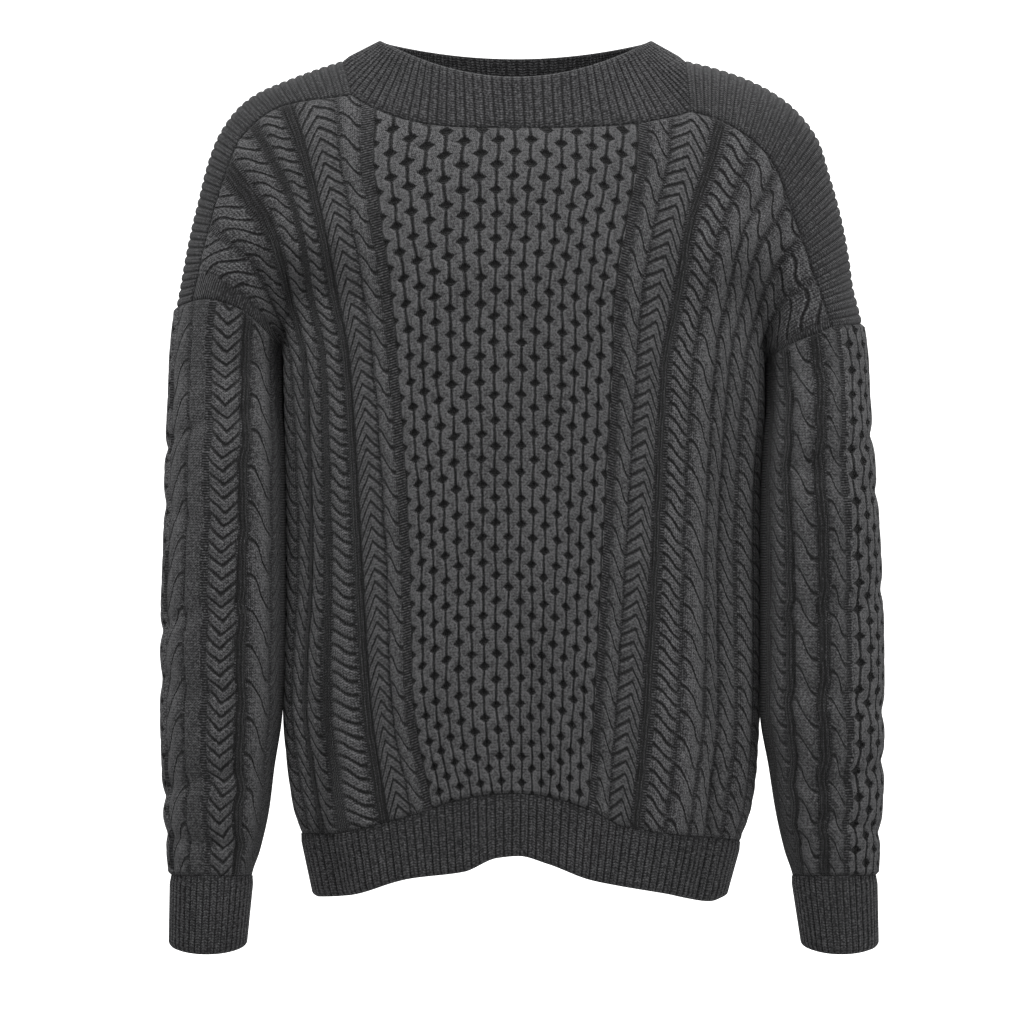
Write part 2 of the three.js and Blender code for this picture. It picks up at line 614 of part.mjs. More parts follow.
function makeStrap(side) {
  const neck = neckEdges[side];
  const seam = side === 'right' ? wales.flat[0] : wales.flat.at(-1);
  const count = 2 * strapRibs;
  const top = ridge(side, strapEnds[side], count);
  const keys = evenKeys(panels.front.top.outer, neck, seam, count);
  const keyAt = (i) => mix(keys[Math.floor(i)], keys[Math.ceil(i)], i - Math.floor(i));
  const strapPoint = (column, q) => {
    const panel = q < 0 ? 'front' : 'back';
    const i = clamp(column, 0, count);
    const s = keyAt(i);
    const from = top[Math.floor(i)].clone().lerp(top[Math.ceil(i)], i - Math.floor(i));
    const to = panelPoint(panel, s, 0);
    const x = mix(from.x, to.x, q * q);
    const z = mix(from.z, to.z, q * q);
    const y = q === 0 ? 0 : sign(panel) * shoulderDepth(x, z, panel);
    return new THREE.Vector3(x, y, z);
  };
  const columnAt = (i, outerFace) => {
    const height = i % 2 === 1 ? ribHeight : 0;
    const points = crossings.map((q) => {
      const panel = q < 0 ? 'front' : 'back';
      const lines = panels[panel].top;
      if (Math.abs(q) === 1) {
        const outer = onLine(lines.outer, keyAt(i));
        const inner = onLine(lines.inner, keyAt(i));
        const lift = outer.clone().sub(inner).normalize();
        return { key: q, point: outerFace ? outer.addScaledVector(lift, height) : inner };
      }
      const flip = side === 'right' ? -1 : 1;
      const normal = outward(strapPoint, i, q, [0, -1], [count, 1], [1, 0.1], flip);
      const both = faces(strapPoint(i, q), normal, height);
      return { key: q, point: outerFace ? both.outer : both.inner };
    });
    return { place: i / count, points };
  };
  const outerColumns = Array.from({ length: count + 1 }, (_, i) => columnAt(i, true));
  const seats = panels.front.top.inner.map((item) => item.key).filter((key) => {
    return Math.sign(key) === Math.sign(neck) && Math.abs(key) >= Math.abs(neck);
  });
  if (side === 'right') seats.reverse();
  const innerColumns = seats.map((key) => {
    if (key === neck) return columnAt(0, false);
    if (key === seam) return columnAt(count, false);
    const after = keys.findIndex((value) => Math.abs(value) >= Math.abs(key));
    return columnAt(after - 1 + (key - keys[after - 1]) / (keys[after] - keys[after - 1]), false);
  });
  const copy = (column) => column.points.map((item) => ({ key: item.key, point: item.point.clone() }));
  straps[side] = {
    neck: { outer: copy(outerColumns[0]), inner: copy(innerColumns[0]) },
    arm: { outer: copy(outerColumns.at(-1)), inner: copy(innerColumns.at(-1)) },
  };
  for (const columns of [outerColumns, innerColumns]) {
    const bevel = columns === innerColumns ? innerBevel : outerBevel;
    drawBackSide(columns[0], columns[1]);
    drawBackSide(columns.at(-1), columns.at(-2));
    columns.forEach((column) => drawBack(column.points, [0, -1], bevel));
  }
  return wallGeometry(outerColumns, innerColumns, false);
}

// The points of a seam line, all of them or those between the two ends of the neckline
function seamPoints(line, neckOnly) {
  const chosen = line.filter((item) => {
    return !neckOnly || (item.key >= neckEdges.right && item.key <= neckEdges.left);
  });
  return chosen.map((item) => item.point.clone());
}

// One closed ring of points from lines that follow each other, without the points they share
function ringOf(lines) {
  const points = lines.flat().filter((point, i, all) => i === 0 || point.distanceTo(all[i - 1]) > near);
  return points[0].distanceTo(points.at(-1)) < near ? points.slice(0, -1) : points;
}

// A ring as a closed line, keyed from 0 to 1 by its length
function keyed(points) {
  const loop = [...points, points[0]];
  let length = 0;
  const line = loop.map((point, i) => {
    if (i > 0) length += point.distanceTo(loop[i - 1]);
    return { key: length, point };
  });
  line.forEach((item) => { item.key /= length; });
  return line;
}

// A ribbed band from a seam ring to a free edge, with a rib over every two columns
function makeBand(rings, ribs, freePoint, rows) {
  const count = 2 * ribs;
  const shareOf = (outerLine, innerLine, i) => ({
    outer: onLine(outerLine, i / count),
    inner: onLine(innerLine, i / count),
  });
  const outerLine = keyed(rings.outer);
  const innerLine = rings.inner.length === rings.outer.length
    ? outerLine.map((item, i) => ({ key: item.key, point: [...rings.inner, rings.inner[0]][i] }))
    : keyed(rings.inner);
  const seat = Array.from({ length: count }, (_, i) => shareOf(outerLine, innerLine, i));
  const surface = (i, t) => {
    const at = ((Math.round(i) % count) + count) % count;
    return freePoint(seat[at].outer, t);
  };
  const columnAt = (i, outerFace) => {
    const lift = seat[i].outer.clone().sub(seat[i].inner).normalize();
    const height = i % 2 === 0 ? 0 : ribHeight;
    const points = rows.map((t) => {
      if (t === 0) {
        const edge = outerFace ? seat[i].outer : seat[i].inner;
        return { key: t, point: edge.clone().addScaledVector(lift, outerFace ? height : 0) };
      }
      const along = surface(i + 2, t).sub(surface(i - 2, t));
      const down = surface(i, Math.min(1, t + 0.02)).sub(surface(i, t - 0.02));
      const normal = along.cross(down).normalize();
      if (normal.dot(lift) < 0) normal.negate();
      const both = faces(surface(i, t), normal, height);
      return { key: t, point: outerFace ? both.outer : both.inner };
    });
    drawBack(points, [0], outerFace ? 0 : innerBevel);
    return { place: i / count, points };
  };
  const outerColumns = Array.from({ length: count }, (_, i) => columnAt(i, true));
  const innerColumns = Array.from({ length: count / 2 }, (_, i) => columnAt(2 * i, false));
  return wallGeometry(outerColumns, innerColumns, true);
}

function neckRing(face) {
  return ringOf([
    seamPoints(panels.front.top[face], true),
    seamPoints(straps.left.neck[face], false),
    seamPoints(panels.back.top[face], true).reverse(),
    seamPoints(straps.right.neck[face], false).reverse(),
  ]);
}

function makeCollar() {
  const rings = { outer: neckRing('outer'), inner: neckRing('inner') };
  const rimPoint = (base) => {
    const seamDepth = base.y < 0 ? neckSeam.front : neckSeam.back;
    const seamTurn = Math.atan2(base.x / neckSeam.halfWidth, -base.y / seamDepth);
    const turn = seamTurn + collarTurn * Math.sin(2 * seamTurn);
    const facing = Math.cos(turn);
    const depth = facing > 0 ? collarRim.front : collarRim.back;
    const dip = facing > 0 ? collarRim.frontDip : collarRim.backDip;
    return new THREE.Vector3(
      collarRim.x + collarRim.halfWidth * Math.sin(turn),
      -depth * facing,
      collarRim.side - dip * facing * facing,
    );
  };
  return makeBand(rings, collarRibs, (base, t) => base.clone().lerp(rimPoint(base), t), [0, 1]);
}

function hemRing(face) {
  const back = [...panels.back.bottom[face]].reverse();
  return [...panels.front.bottom[face], ...back.slice(1, -1)].map((item) => item.point.clone());
}

function makeHem() {
  const rings = { outer: hemRing('outer'), inner: hemRing('inner') };
  const xs = hemDrop.map((row) => row.x);
  const lowEdge = smoothCurve(xs, hemDrop.map((row) => row.z));
  const backRise = smoothCurve(xs, hemDrop.map((row) => row.backRise));
  const hemPoint = (base, t) => {
    const share = (base.x - hemTop.right) / (hemTop.left - hemTop.right);
    const x = mix(hemEdge.right, hemEdge.left, share);
    const z = lowEdge(x) + (base.y > 0 ? backRise(x) : 0);
    const end = new THREE.Vector3(x, base.y * hemEdge.depthShare, z);
    return base.clone().lerp(end, t);
  };
  return makeBand(rings, hemRibs, hemPoint, [0, 1]);
}

// The armhole's ring: down the front panel's armhole, up the back's, and over the strap's end
function armRing(side, face) {
  const front = panels.front[side][face].map((item) => item.point.clone());
  const back = [...panels.back[side][face]].reverse().map((item) => item.point.clone());
  const strap = [...straps[side].arm[face]].reverse().map((item) => item.point.clone());
  return [...front, ...back.slice(1), ...strap.slice(1, -1)];
}

const sleeveRows = 22;
const sleeveInnerRows = 13;
const turnEvened = 0.6; // share of the sleeve from which its columns are evenly spread
const seatFaded = 0.14; // share of the sleeve from which its section is its own
const plainSide = { from: 0.6, to: 0.9 }; // sine of the turn at which a sleeve is plain against the body
const plainEnds = { top: 0.05, bottom: 0.04 }; // shares of the sleeve where its cables fade out
const sleeveRing = {};

// A point of a sleeve's section at a height, by its turn round the arm from the front
function sleeveSection(side, turn, z) {
  const arm = sleeve[side];
  const centre = (arm.outer(z) + arm.inner(z)) / 2;
  const half = (arm.inner(z) - arm.outer(z)) / 2;
  return new THREE.Vector3(
    centre + half * Math.sin(turn),
    -arm.forward(z) - arm.depth(z) * Math.cos(turn),
    z,
  );
}

function turnOf(side, point) {
  const arm = sleeve[side];
  const centre = (arm.outer(point.z) + arm.inner(point.z)) / 2;
  const half = (arm.inner(point.z) - arm.outer(point.z)) / 2;
  return Math.atan2((point.x - centre) / half, -point.y / arm.depth(point.z));
}

function makeSleeve(side) {
  const outerRing = armRing(side, 'outer');
  const innerRing = armRing(side, 'inner');
  const count = outerRing.length;
  const turns = outerRing.map((point) => turnOf(side, point));
  for (let i = 1; i < count; i += 1) {
    while (turns[i] < turns[i - 1]) turns[i] += 2 * Math.PI;
  }
  const even = turns.map((_, i) => turns[0] + (2 * Math.PI * i) / count);
  const turnAt = (at, v) => mix(turns[at], even[at], smoothStep(0, turnEvened, v));
  const surface = (i, v) => {
    const at = ((i % count) + count) % count;
    const z = mix(outerRing[at].z, cuffTopZ, v);
    const point = sleeveSection(side, turnAt(at, v), z);
    const seat = outerRing[at].clone().sub(sleeveSection(side, turns[at], outerRing[at].z));
    return point.addScaledVector(seat, 1 - smoothStep(0, seatFaded, v));
  };
  const columnAt = (i, outerFace, rows) => {
    return rows.map((v, row) => {
      if (v === 0) return { key: v, point: (outerFace ? outerRing : innerRing)[i].clone() };
      const along = surface(i + 1, v).sub(surface(i - 1, v));
      const down = surface(i, Math.min(1, v + 0.01)).sub(surface(i, v - 0.01));
      const normal = along.cross(down).normalize();
      if (normal.dot(surface(i, v).sub(sleeveMiddle(side, surface(i, v).z))) < 0) normal.negate();
      const plain = smoothStep(plainSide.from, plainSide.to, Math.sin(turnAt(i, v)));
      const fade = smoothStep(0, plainEnds.top, v) * smoothStep(1, 1 - plainEnds.bottom, v) * (1 - plain);
      let height = mossHeight;
      if (i % 2 === 0) height = row % 2 === 0 ? cableHeight : cableLow;
      if (i % 4 === 1) height = 0;
      const both = faces(surface(i, v), normal, height * fade);
      return { key: v, point: outerFace ? both.outer : both.inner };
    });
  };
  const outerColumns = outerRing.map((_, i) => {
    const rows = i % 2 === 0 ? 2 * sleeveRows : sleeveRows;
    const points = columnAt(i, true, Array.from({ length: rows + 1 }, (_, row) => row / rows));
    return { place: i / count, points };
  });
  const innerColumns = outerRing.map((_, i) => {
    const rows = Array.from({ length: sleeveInnerRows + 1 }, (_, row) => row / sleeveInnerRows);
    const points = columnAt(i, false, rows);
    return { place: i / count, points };
  });
  sleeveRing[side] = {
    outer: outerColumns.map((column) => column.points.at(-1).point.clone()),
    inner: innerColumns.map((column) => column.points.at(-1).point.clone()),
  };
  for (const columns of [outerColumns, innerColumns]) {
    columns.forEach((column) => {
      drawBack(column.points, [0], columns === innerColumns ? innerBevel : armholeBevel);
      drawBack(column.points, [-1]);
    });
  }
  return wallGeometry(outerColumns, innerColumns, true);
}

function sleeveMiddle(side, z) {
  const arm = sleeve[side];
  return new THREE.Vector3((arm.outer(z) + arm.inner(z)) / 2, -arm.forward(z), z);
}

function makeCuff(side) {
  const top = sleeveMiddle(side, cuffTopZ);
  const cuffPoint = (base, t) => {
    const turn = Math.atan2(base.x - top.x, top.y - base.y);
    const radius = Math.hypot(base.x - top.x, base.y - top.y);
    const arm = sleeve[side];
    const end = sleeveMiddle(side, cuffBottomZ);
    const narrow = Math.abs(arm.inner(cuffBottomZ) - arm.outer(cuffBottomZ))
      / Math.abs(arm.inner(cuffTopZ) - arm.outer(cuffTopZ));
    end.x += radius * narrow * Math.sin(turn);
    end.y -= radius * narrow * Math.cos(turn);
    end.z -= cuffDip * Math.cos(turn) ** 2;
    return base.clone().lerp(end, t);
  };
  return makeBand(sleeveRing[side], cuffRibs, cuffPoint, [0, 1]);
}

const knitColour = '#424242';
const ribColour = '#3d3d3d';

function knit(name, geometry, colour) {
  const material = new THREE.MeshStandardMaterial({ color: colour, roughness: 0.95, metalness: 0 });
  const mesh = new THREE.Mesh(geometry, material);
  mesh.name = name;
  return mesh;
}

const sweater = new THREE.Group();
sweater.add(knit('front_panel', makePanel('front'), knitColour));
sweater.add(knit('back_panel', makePanel('back'), knitColour));
for (const side of ['right', 'left']) {
  sweater.add(knit(`shoulder_strap_${side}`, makeStrap(side), ribColour));
}
sweater.add(knit('collar', makeCollar(), ribColour));
sweater.add(knit('hem_rib', makeHem(), ribColour));
for (const side of ['right', 'left']) {
  sweater.add(knit(`sleeve_${side}`, makeSleeve(side), knitColour));
  sweater.add(knit(`cuff_${side}`, makeCuff(side), ribColour));
}

export default sweater;
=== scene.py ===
import math
import bpy
import bmesh
import numpy as np
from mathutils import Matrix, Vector


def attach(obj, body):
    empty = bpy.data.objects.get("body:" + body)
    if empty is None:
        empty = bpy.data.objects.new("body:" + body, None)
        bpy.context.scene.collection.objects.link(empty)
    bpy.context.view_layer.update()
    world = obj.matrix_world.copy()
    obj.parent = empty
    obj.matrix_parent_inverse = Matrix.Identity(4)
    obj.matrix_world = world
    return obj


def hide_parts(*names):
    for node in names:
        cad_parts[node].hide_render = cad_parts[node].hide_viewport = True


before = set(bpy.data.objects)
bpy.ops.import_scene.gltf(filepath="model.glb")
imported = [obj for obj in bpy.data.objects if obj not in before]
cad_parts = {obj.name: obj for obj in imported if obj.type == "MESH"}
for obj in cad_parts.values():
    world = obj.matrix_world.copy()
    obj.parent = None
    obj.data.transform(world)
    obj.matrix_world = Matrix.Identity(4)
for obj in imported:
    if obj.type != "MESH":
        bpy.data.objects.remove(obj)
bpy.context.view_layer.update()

# Everything below is in millimetres until a mesh is made, as in the part's own source.
# The wearer's right is at -X and the front faces -Y.
garment = {
    "wall": 2.6,
    "stitchWide": 2.5,   # one knit stitch across, in mm, about three pixels of the render
    "stitchHigh": 2.1,   # one knit row
    "groove": 1.6,       # from a groove's bottom to where it has faded out, in mm
    "armpit": 0.35,      # share of a panel's length, from the top
    "neckSeam": {"halfWidth": 139, "front": 82, "back": 74, "turn": 0.2},
    "rim": {"x": -2.7, "halfWidth": 103, "front": 66, "back": 56, "side": 16, "frontDip": 28.5, "backDip": 12},
    "strapEnds": {"right": -191, "left": -204},
    "cuffTop": -634,
    "cuffBottom": -690,
}

# Outline of the shoulders from the front: level, wearer's right, wearer's left
shoulderOutline = np.array([
    (0, -137, 129), (-5, -153, 150), (-13.7, -177, 176), (-25.4, -204, 199), (-36, -218, 213),
    (-50, -229, 225.4), (-64, -236.5, 233.8), (-86, -243.9, 240.6), (-108, -249.2, 247),
    (-128, -254.2, 251.9), (-155, -259.7, 256.8), (-175, -263.2, 259.5), (-204, -268, 266.3),
    (-245, -270.5, 270),
])
# Body between the sleeves: level, right seam, left seam, depth to the front, depth to the back
bodySections = np.array([
    (0, -137, 129, 40, 40), (-12, -168, 170, 52, 50), (-34, -190, 190, 70, 64), (-53, -196, 198, 82, 73),
    (-90, -199, 203, 96, 86), (-130, -196, 202, 105, 95), (-186, -181, 189, 112, 102),
    (-235.5, -184, 191.9, 113, 105), (-264, -183.6, 192, 113, 105), (-342, -182.3, 188.4, 113, 105),
    (-420, -182.3, 188.4, 111, 105), (-505, -184, 187.4, 108, 103), (-551, -180.5, 185, 105, 101),
    (-583, -175.5, 180.5, 103, 99), (-604, -168.5, 173, 101, 97), (-655, -158, 161, 97, 92),
])
# Sleeves: level, outer edge, inner edge, half depth, swing to the front
sleeveSections = {
    "right": np.array([
        (-180, -264.5, -182, 60, 0), (-235, -270.3, -184, 60, 0), (-264, -271.3, -184, 59, 9),
        (-306, -273.3, -182, 58, 18), (-374, -274.5, -181.3, 57, 22), (-448, -276.9, -181.6, 55, 22),
        (-508, -276.9, -184.2, 52, 21), (-551, -275.7, -190.5, 48, 20), (-583, -274.8, -194.5, 45, 20),
        (-614, -272.2, -201.5, 40, 19), (-634, -270.5, -208, 36, 19), (-693, -271.5, -214, 33, 20),
    ]),
    "left": np.array([
        (-180, 260.5, 187, 58, 0), (-237, 269.6, 191.9, 60, 0), (-264, 271.3, 192.6, 59, 9),
        (-306, 274.4, 189.1, 58, 18), (-374, 278.8, 187.4, 57, 22), (-428, 281.3, 187.4, 55, 22),
        (-505, 282, 187.4, 53, 21), (-551, 281.8, 194.5, 48, 20), (-583, 280.4, 199.5, 45, 20),
        (-614, 278.6, 206.5, 40, 19), (-634, 277.6, 213, 36, 19), (-693, 278.8, 222, 33, 20),
    ]),
}
# Guide wales of the flat panel, and where each lies at each station down it
waleFlat = np.array([-246, -215, -185, -149, -105.5, 0, 129, 149, 185, 230, 277], float)
stations = np.array([0, 0.05, 0.148, 0.257, 0.35, 0.65, 0.861, 1])
waleAcross = np.array([
    (-254.3, -236, -215.3, -181, -130, -3.1, 133, 156, 194, 216, 243),
    (-244.1, -226, -200.5, -168.5, -129.5, -3.9, 129, 147.5, 187.5, 209, 234),
    (-223.9, -203, -178.6, -153.7, -120.9, -6.2, 116.2, 131.8, 170.8, 193, 218),
    (-202, -186, -167.7, -142, -111.5, -7.8, 106.1, 121.7, 155.2, 179.5, 203.6),
    (-184, -172.5, -157.6, -133.4, -106.1, -8.6, 100.6, 112.3, 146.6, 171, 191.9),
    (-173.5, -166, -154.4, -124, -95.9, -8.6, 91.5, 104.5, 138.8, 162, 179),
    (-183, -172, -158.3, -117.8, -92.8, -8.6, 84.8, 98.3, 137.3, 163.5, 186),
    (-169, -158.5, -145.1, -103.7, -77.2, -5.5, 77.3, 89.7, 125.6, 152, 172.5),
])
waleLevels = np.array([
    (-187.2, -113, -59.3, -34.5, -27, -53, -40, -47, -76, -130, -207),
    (-185.6, -124, -81.1, -68.6, -67.1, -78.8, -76, -79, -97, -138, -211.4),
    (-190.3, -150, -124.8, -127.9, -127.9, -129.5, -129.5, -127.9, -127.9, -158, -217.5),
    (-205.1, -191, -184.1, -186.4, -186.4, -185.6, -185.6, -186.4, -185.6, -198, -225),
    (-234, -234, -234, -234, -234, -234, -234, -234, -235, -236, -237),
    (-388.4, -388.4, -388.4, -388.4, -388.4, -388.4, -388.4, -388.4, -388.4, -388.4, -388.4),
    (-498, -498, -498, -497, -496, -494, -497, -498, -500, -501, -502),
    (-601.4, -601.4, -601.4, -592, -585, -569.4, -594.4, -596.7, -602.2, -604.5, -608.4),
])
# The hem's lower edge: across, level, how much higher the back hangs
hemDrop = np.array([
    (-160, -651, 0), (-136, -649.5, 2), (-86, -635.7, 4), (-43, -630, 4), (-17, -619.3, 4), (0, -617.8, 4),
    (22, -624, 4), (56, -636.5, 4), (114, -647.4, 3), (150, -654, 1), (163, -650, 0),
])
# Large folds down each panel: top x, top z, end x, end z, width, depth
folds = {
    "front": [
        (-163, -260, -154, -600, 15, 17), (10, -420, 22, -640, 20, 7), (160, -250, 150, -600, 13, 10),
        (-60, -470, -72, -640, 22, 4),
    ],
    "back": [
        (158, -260, 154, -590, 15, 13), (-150, -300, -146, -600, 14, 7), (34, -380, 20, -640, 24, 6),
        (-40, -440, -52, -640, 20, 5),
    ],
}

# Creases along and across the cloth, finer than the part's own folds:
# top x, top z, end x, end z, width, depth
creases = {
    "front": [
        (-141, -285, -145, -610, 7, 9), (151, -300, 146, -600, 7, 6), (-118, -430, -104, -600, 9, 3),
        (60, -520, 84, -620, 12, 3), (170, -330, 166, -560, 6, 3),
    ],
    "back": [
        (143, -300, 146, -600, 7, 6), (-128, -420, -120, -610, 9, 4), (-152, -280, -148, -580, 7, 4),
        (70, -500, 88, -620, 12, 4),
    ],
}
# Soft creases round the sleeves: level at the front middle, how far it falls to the outer side, width, depth
sleeveCreases = {
    "right": [
        (-292, 18, 7, 2.6), (-352, -12, 9, 2.0), (-436, 14, 8, 2.4),
        (-486, -10, 10, 2.0), (-566, 12, 8, 2.8), (-604, -6, 7, 2.4),
    ],
    "left": [
        (-300, -16, 8, 2.8), (-330, 10, 7, 2.0), (-418, -12, 9, 2.2),
        (-500, 12, 9, 2.4), (-552, -14, 8, 2.8), (-596, 8, 7, 2.6),
    ],
}


def mix(a, b, share):
    return a + (b - a) * share


def smoothStep(start, end, value):
    share = np.clip((value - start) / (end - start), 0, 1)
    return share * share * (3 - 2 * share)


def tangentsOf(xs, ys):
    # slopes that never let the curve overshoot its points
    slope = np.diff(ys, axis=-1) / np.diff(xs)
    tangents = np.zeros(ys.shape)
    tangents[..., 0] = slope[..., 0]
    tangents[..., -1] = slope[..., -1]
    before, after = slope[..., :-1], slope[..., 1:]
    total = np.where(np.abs(before + after) < 1e-12, 1, before + after)
    tangents[..., 1:-1] = np.where(before * after <= 0, 0, 2 * before * after / total)
    return slope, tangents


def curve(xs, ys, x):
    # ys may hold one value list for all x, or one list per row or per point with the last axis along xs
    xs, ys, x = np.asarray(xs, float), np.asarray(ys, float), np.asarray(x, float)
    slope, tangents = tangentsOf(xs, ys)
    x = np.clip(x, xs[0], xs[-1])
    i = np.clip(np.searchsorted(xs, x, side="right") - 1, 0, len(xs) - 2)
    step = xs[i + 1] - xs[i]
    s = (x - xs[i]) / step
    if ys.ndim == 3:
        place = np.broadcast_to(i, ys.shape[:2])[..., None]
        take = lambda values, shift=0: np.take_along_axis(values, place + shift, -1)[..., 0]
    else:
        take = lambda values, shift=0: values[..., i + shift]
    bend = s * (1 - s) * ((1 - s) * (take(tangents) - take(slope)) - s * (take(tangents, 1) - take(slope)))
    return mix(take(ys), take(ys, 1), s) + step * bend


def byHeight(table, column, z):
    up = table[::-1]
    return curve(up[:, 0], up[:, column], z)


def lobe(x, low, high, depth, power):
    u = np.clip(np.abs((2 * x - low - high) / (high - low)), 0, 1)
    return depth * (1 - u ** power) ** (1 / power)


def shoulderDepth(x, z, side):
    depth = byHeight(bodySections, 3 if side == "front" else 4, z)
    right, left = byHeight(shoulderOutline, 1, z), byHeight(shoulderOutline, 2, z)
    whole = lobe(x, right, left, depth, 2.1)
    apart = smoothStep(-105, -190, z)
    isRight = x < 0
    outline = np.where(isRight, right, left)
    inner = np.where(isRight, byHeight(sleeveSections["right"], 2, z), byHeight(sleeveSections["left"], 2, z))
    armHalf = np.where(isRight, byHeight(sleeveSections["right"], 3, z),
                       byHeight(sleeveSections["left"], 3, z))
    arm = lobe(x, np.minimum(outline, inner), np.maximum(outline, inner), armHalf, 2)
    torso = lobe(x, byHeight(bodySections, 1, z), byHeight(bodySections, 2, z), depth, 2.4)
    armpit = np.where(isRight, waleLevels[4, 0], waleLevels[4, -1])
    above = np.maximum(0, z - armpit) / (-105 - armpit)
    middleOfArm = (outline + inner) / 2
    inside = smoothStep(0, 1, (x - middleOfArm) / (inner - middleOfArm))
    web = 88 * above ** 0.6 * inside
    joined = (arm ** 5 + torso ** 5 + web ** 5) ** 0.2
    return mix(whole, joined, apart)


def foldDepth(x, z, side):
    total = np.zeros(np.shape(x))
    for topX, topZ, endX, endZ, width, depth in folds[side] + creases[side]:
        share = (z - topZ) / (endZ - topZ)
        aside = (x - mix(topX, endX, share)) / width
        total += depth * np.exp(-aside * aside) * smoothStep(0, 0.3, share)
    return total


def stationCurves(table, t):
    # the seams have a kink at the armpit, the other wales don't
    columns = []
    for i in range(table.shape[1]):
        ys = table[:, i]
        if i in (0, table.shape[1] - 1):
            upper = curve(stations[:5], ys[:5], t)
            lower = curve(stations[4:], ys[4:], t)
            columns.append(np.where(t <= garment["armpit"], upper, lower))
        else:
            columns.append(curve(stations, ys, t))
    return np.stack(columns, -1)


def panelSurface(side, s, t):
    # plain face of a panel for wales s (mm across the flat panel) and shares t down it
    s, t = np.asarray(s, float), np.asarray(t, float)
    xs, zs = stationCurves(waleAcross, t), stationCurves(waleLevels, t)
    rise = 13 * (1 - smoothStep(0, 0.3, t)) if side == "back" else np.zeros(len(t))
    z = np.zeros((len(t), len(s)))
    rightPart, leftPart = s <= waleFlat[4], s >= waleFlat[6]
    z[:, rightPart] = curve(waleFlat[:5], zs[:, :5], s[rightPart])
    z[:, leftPart] = curve(waleFlat[6:], zs[:, 6:], s[leftPart])
    neckPower = mix(2, 3.5, 1 - smoothStep(0, 0.12, t))[:, None]
    for edge, part in ((4, ~rightPart & (s < 0)), (6, ~leftPart & (s >= 0))):
        share = np.abs(s[part] / waleFlat[edge])[None, :]
        z[:, part] = mix(zs[:, 5:6], zs[:, edge:edge + 1], share ** neckPower)
        z[:, part] += rise[:, None] * (1 - share ** 4)
    plain = curve(waleFlat, xs, s)
    below = smoothStep(0.27, garment["armpit"], t)[:, None]
    low, high = byHeight(bodySections, 1, z), byHeight(bodySections, 2, z)
    centre, half = (low + high) / 2, (high - low) / 2
    turns = np.arcsin(np.clip((xs[:, None, :] - centre[..., None]) / half[..., None], -0.97, 0.97))
    turns[..., 0], turns[..., -1] = -math.pi / 2, math.pi / 2
    turn = curve(waleFlat, turns, s)
    rounded = centre + half * np.sin(turn)
    u = np.clip(np.abs(np.sin(turn)), 0, 1)
    profile = (1 - u ** 2.4) ** (1 / 2.4)
    depth = byHeight(bodySections, 3 if side == "front" else 4, z)
    lowerDepth = np.maximum(0, depth * profile - foldDepth(rounded, z, side) * (1 - u ** 6))
    x = np.where(below >= 1, rounded, mix(plain, rounded, below))
    upperDepth = shoulderDepth(x, z, side)
    y = np.where(t[:, None] >= garment["armpit"], lowerDepth, upperDepth)
    return np.stack([x, y * (-1 if side == "front" else 1), z], -1)


def alongLine(points, shares):
    # points at even shares of a line's length
    steps = np.linalg.norm(np.diff(points, axis=0), axis=1)
    length = np.concatenate([[0], np.cumsum(steps)])
    length /= length[-1]
    return np.stack([np.interp(shares, length, points[:, k]) for k in range(3)], -1)


def strapSurface(side, shares, crossings):
    # a saddle strap: shares run from the neck to the armhole, crossings from the front seam to the back
    neck, seam = (waleFlat[4], waleFlat[0]) if side == "right" else (waleFlat[6], waleFlat[-1])
    z = np.linspace(0, garment["strapEnds"][side], 400)
    ridge = np.stack([byHeight(shoulderOutline, 1 if side == "right" else 2, z), z * 0, z], -1)
    ridge = alongLine(ridge, shares)
    wales = np.linspace(neck, seam, 400)
    frontEdge = panelSurface("front", wales, [0.0])[0]
    steps = np.concatenate([[0], np.cumsum(np.linalg.norm(np.diff(frontEdge, axis=0), axis=1))])
    chosen = np.interp(shares, steps / steps[-1], wales)
    points = np.zeros((len(shares), len(crossings), 3))
    order = np.argsort(chosen)
    for panel in ("front", "back"):
        edge = np.zeros((len(shares), 3))
        edge[order] = panelSurface(panel, chosen[order], [0.0])[0]
        part = crossings < 0 if panel == "front" else crossings >= 0
        q = crossings[part][None, :] ** 2
        x = mix(ridge[:, 0:1], edge[:, 0:1], q)
        zz = mix(ridge[:, 2:3], edge[:, 2:3], q)
        y = shoulderDepth(x, zz, panel) * (-1 if panel == "front" else 1)
        y = np.where(q == 0, 0, y)
        points[:, part] = np.stack([x, y, zz], -1)
    return points


def closeRing(lines):
    points = np.concatenate(lines)
    keep = np.concatenate([[True], np.linalg.norm(np.diff(points, axis=0), axis=1) > 1e-6])
    points = points[keep]
    return np.concatenate([points, points[:1]])


def ringAt(ring, count):
    return alongLine(ring, np.arange(count) / count)


def gridNormals(points, around=False):
    if around:
        across = np.roll(points, -1, 1) - np.roll(points, 1, 1)
    else:
        across = np.gradient(points, axis=1)
    down = np.gradient(points, axis=0)
    normal = np.cross(across, down)
    length = np.linalg.norm(normal, axis=-1, keepdims=True)
    return normal / np.maximum(length, 1e-9)


def downLengths(points):
    # millimetres up from the lower edge, along each column
    steps = np.linalg.norm(np.diff(points, axis=0), axis=-1)
    total = np.cumsum(steps[::-1], axis=0)[::-1]
    return np.concatenate([total, np.zeros((1, points.shape[1]))])


def soften(values, passes, axis):
    for _ in range(passes):
        padded = np.concatenate([np.take(values, [0], axis), values, np.take(values, [-1], axis)], axis)
        n = values.shape[axis]
        low = np.take(padded, range(0, n), axis)
        high = np.take(padded, range(2, n + 2), axis)
        values = (low + 2 * values + high) / 4
    return values


# Knitted reliefs. Each takes mm across and mm up, and gives the height, how far its stitches lean aside, and
# the phase of its grooves: one groove for each whole number.

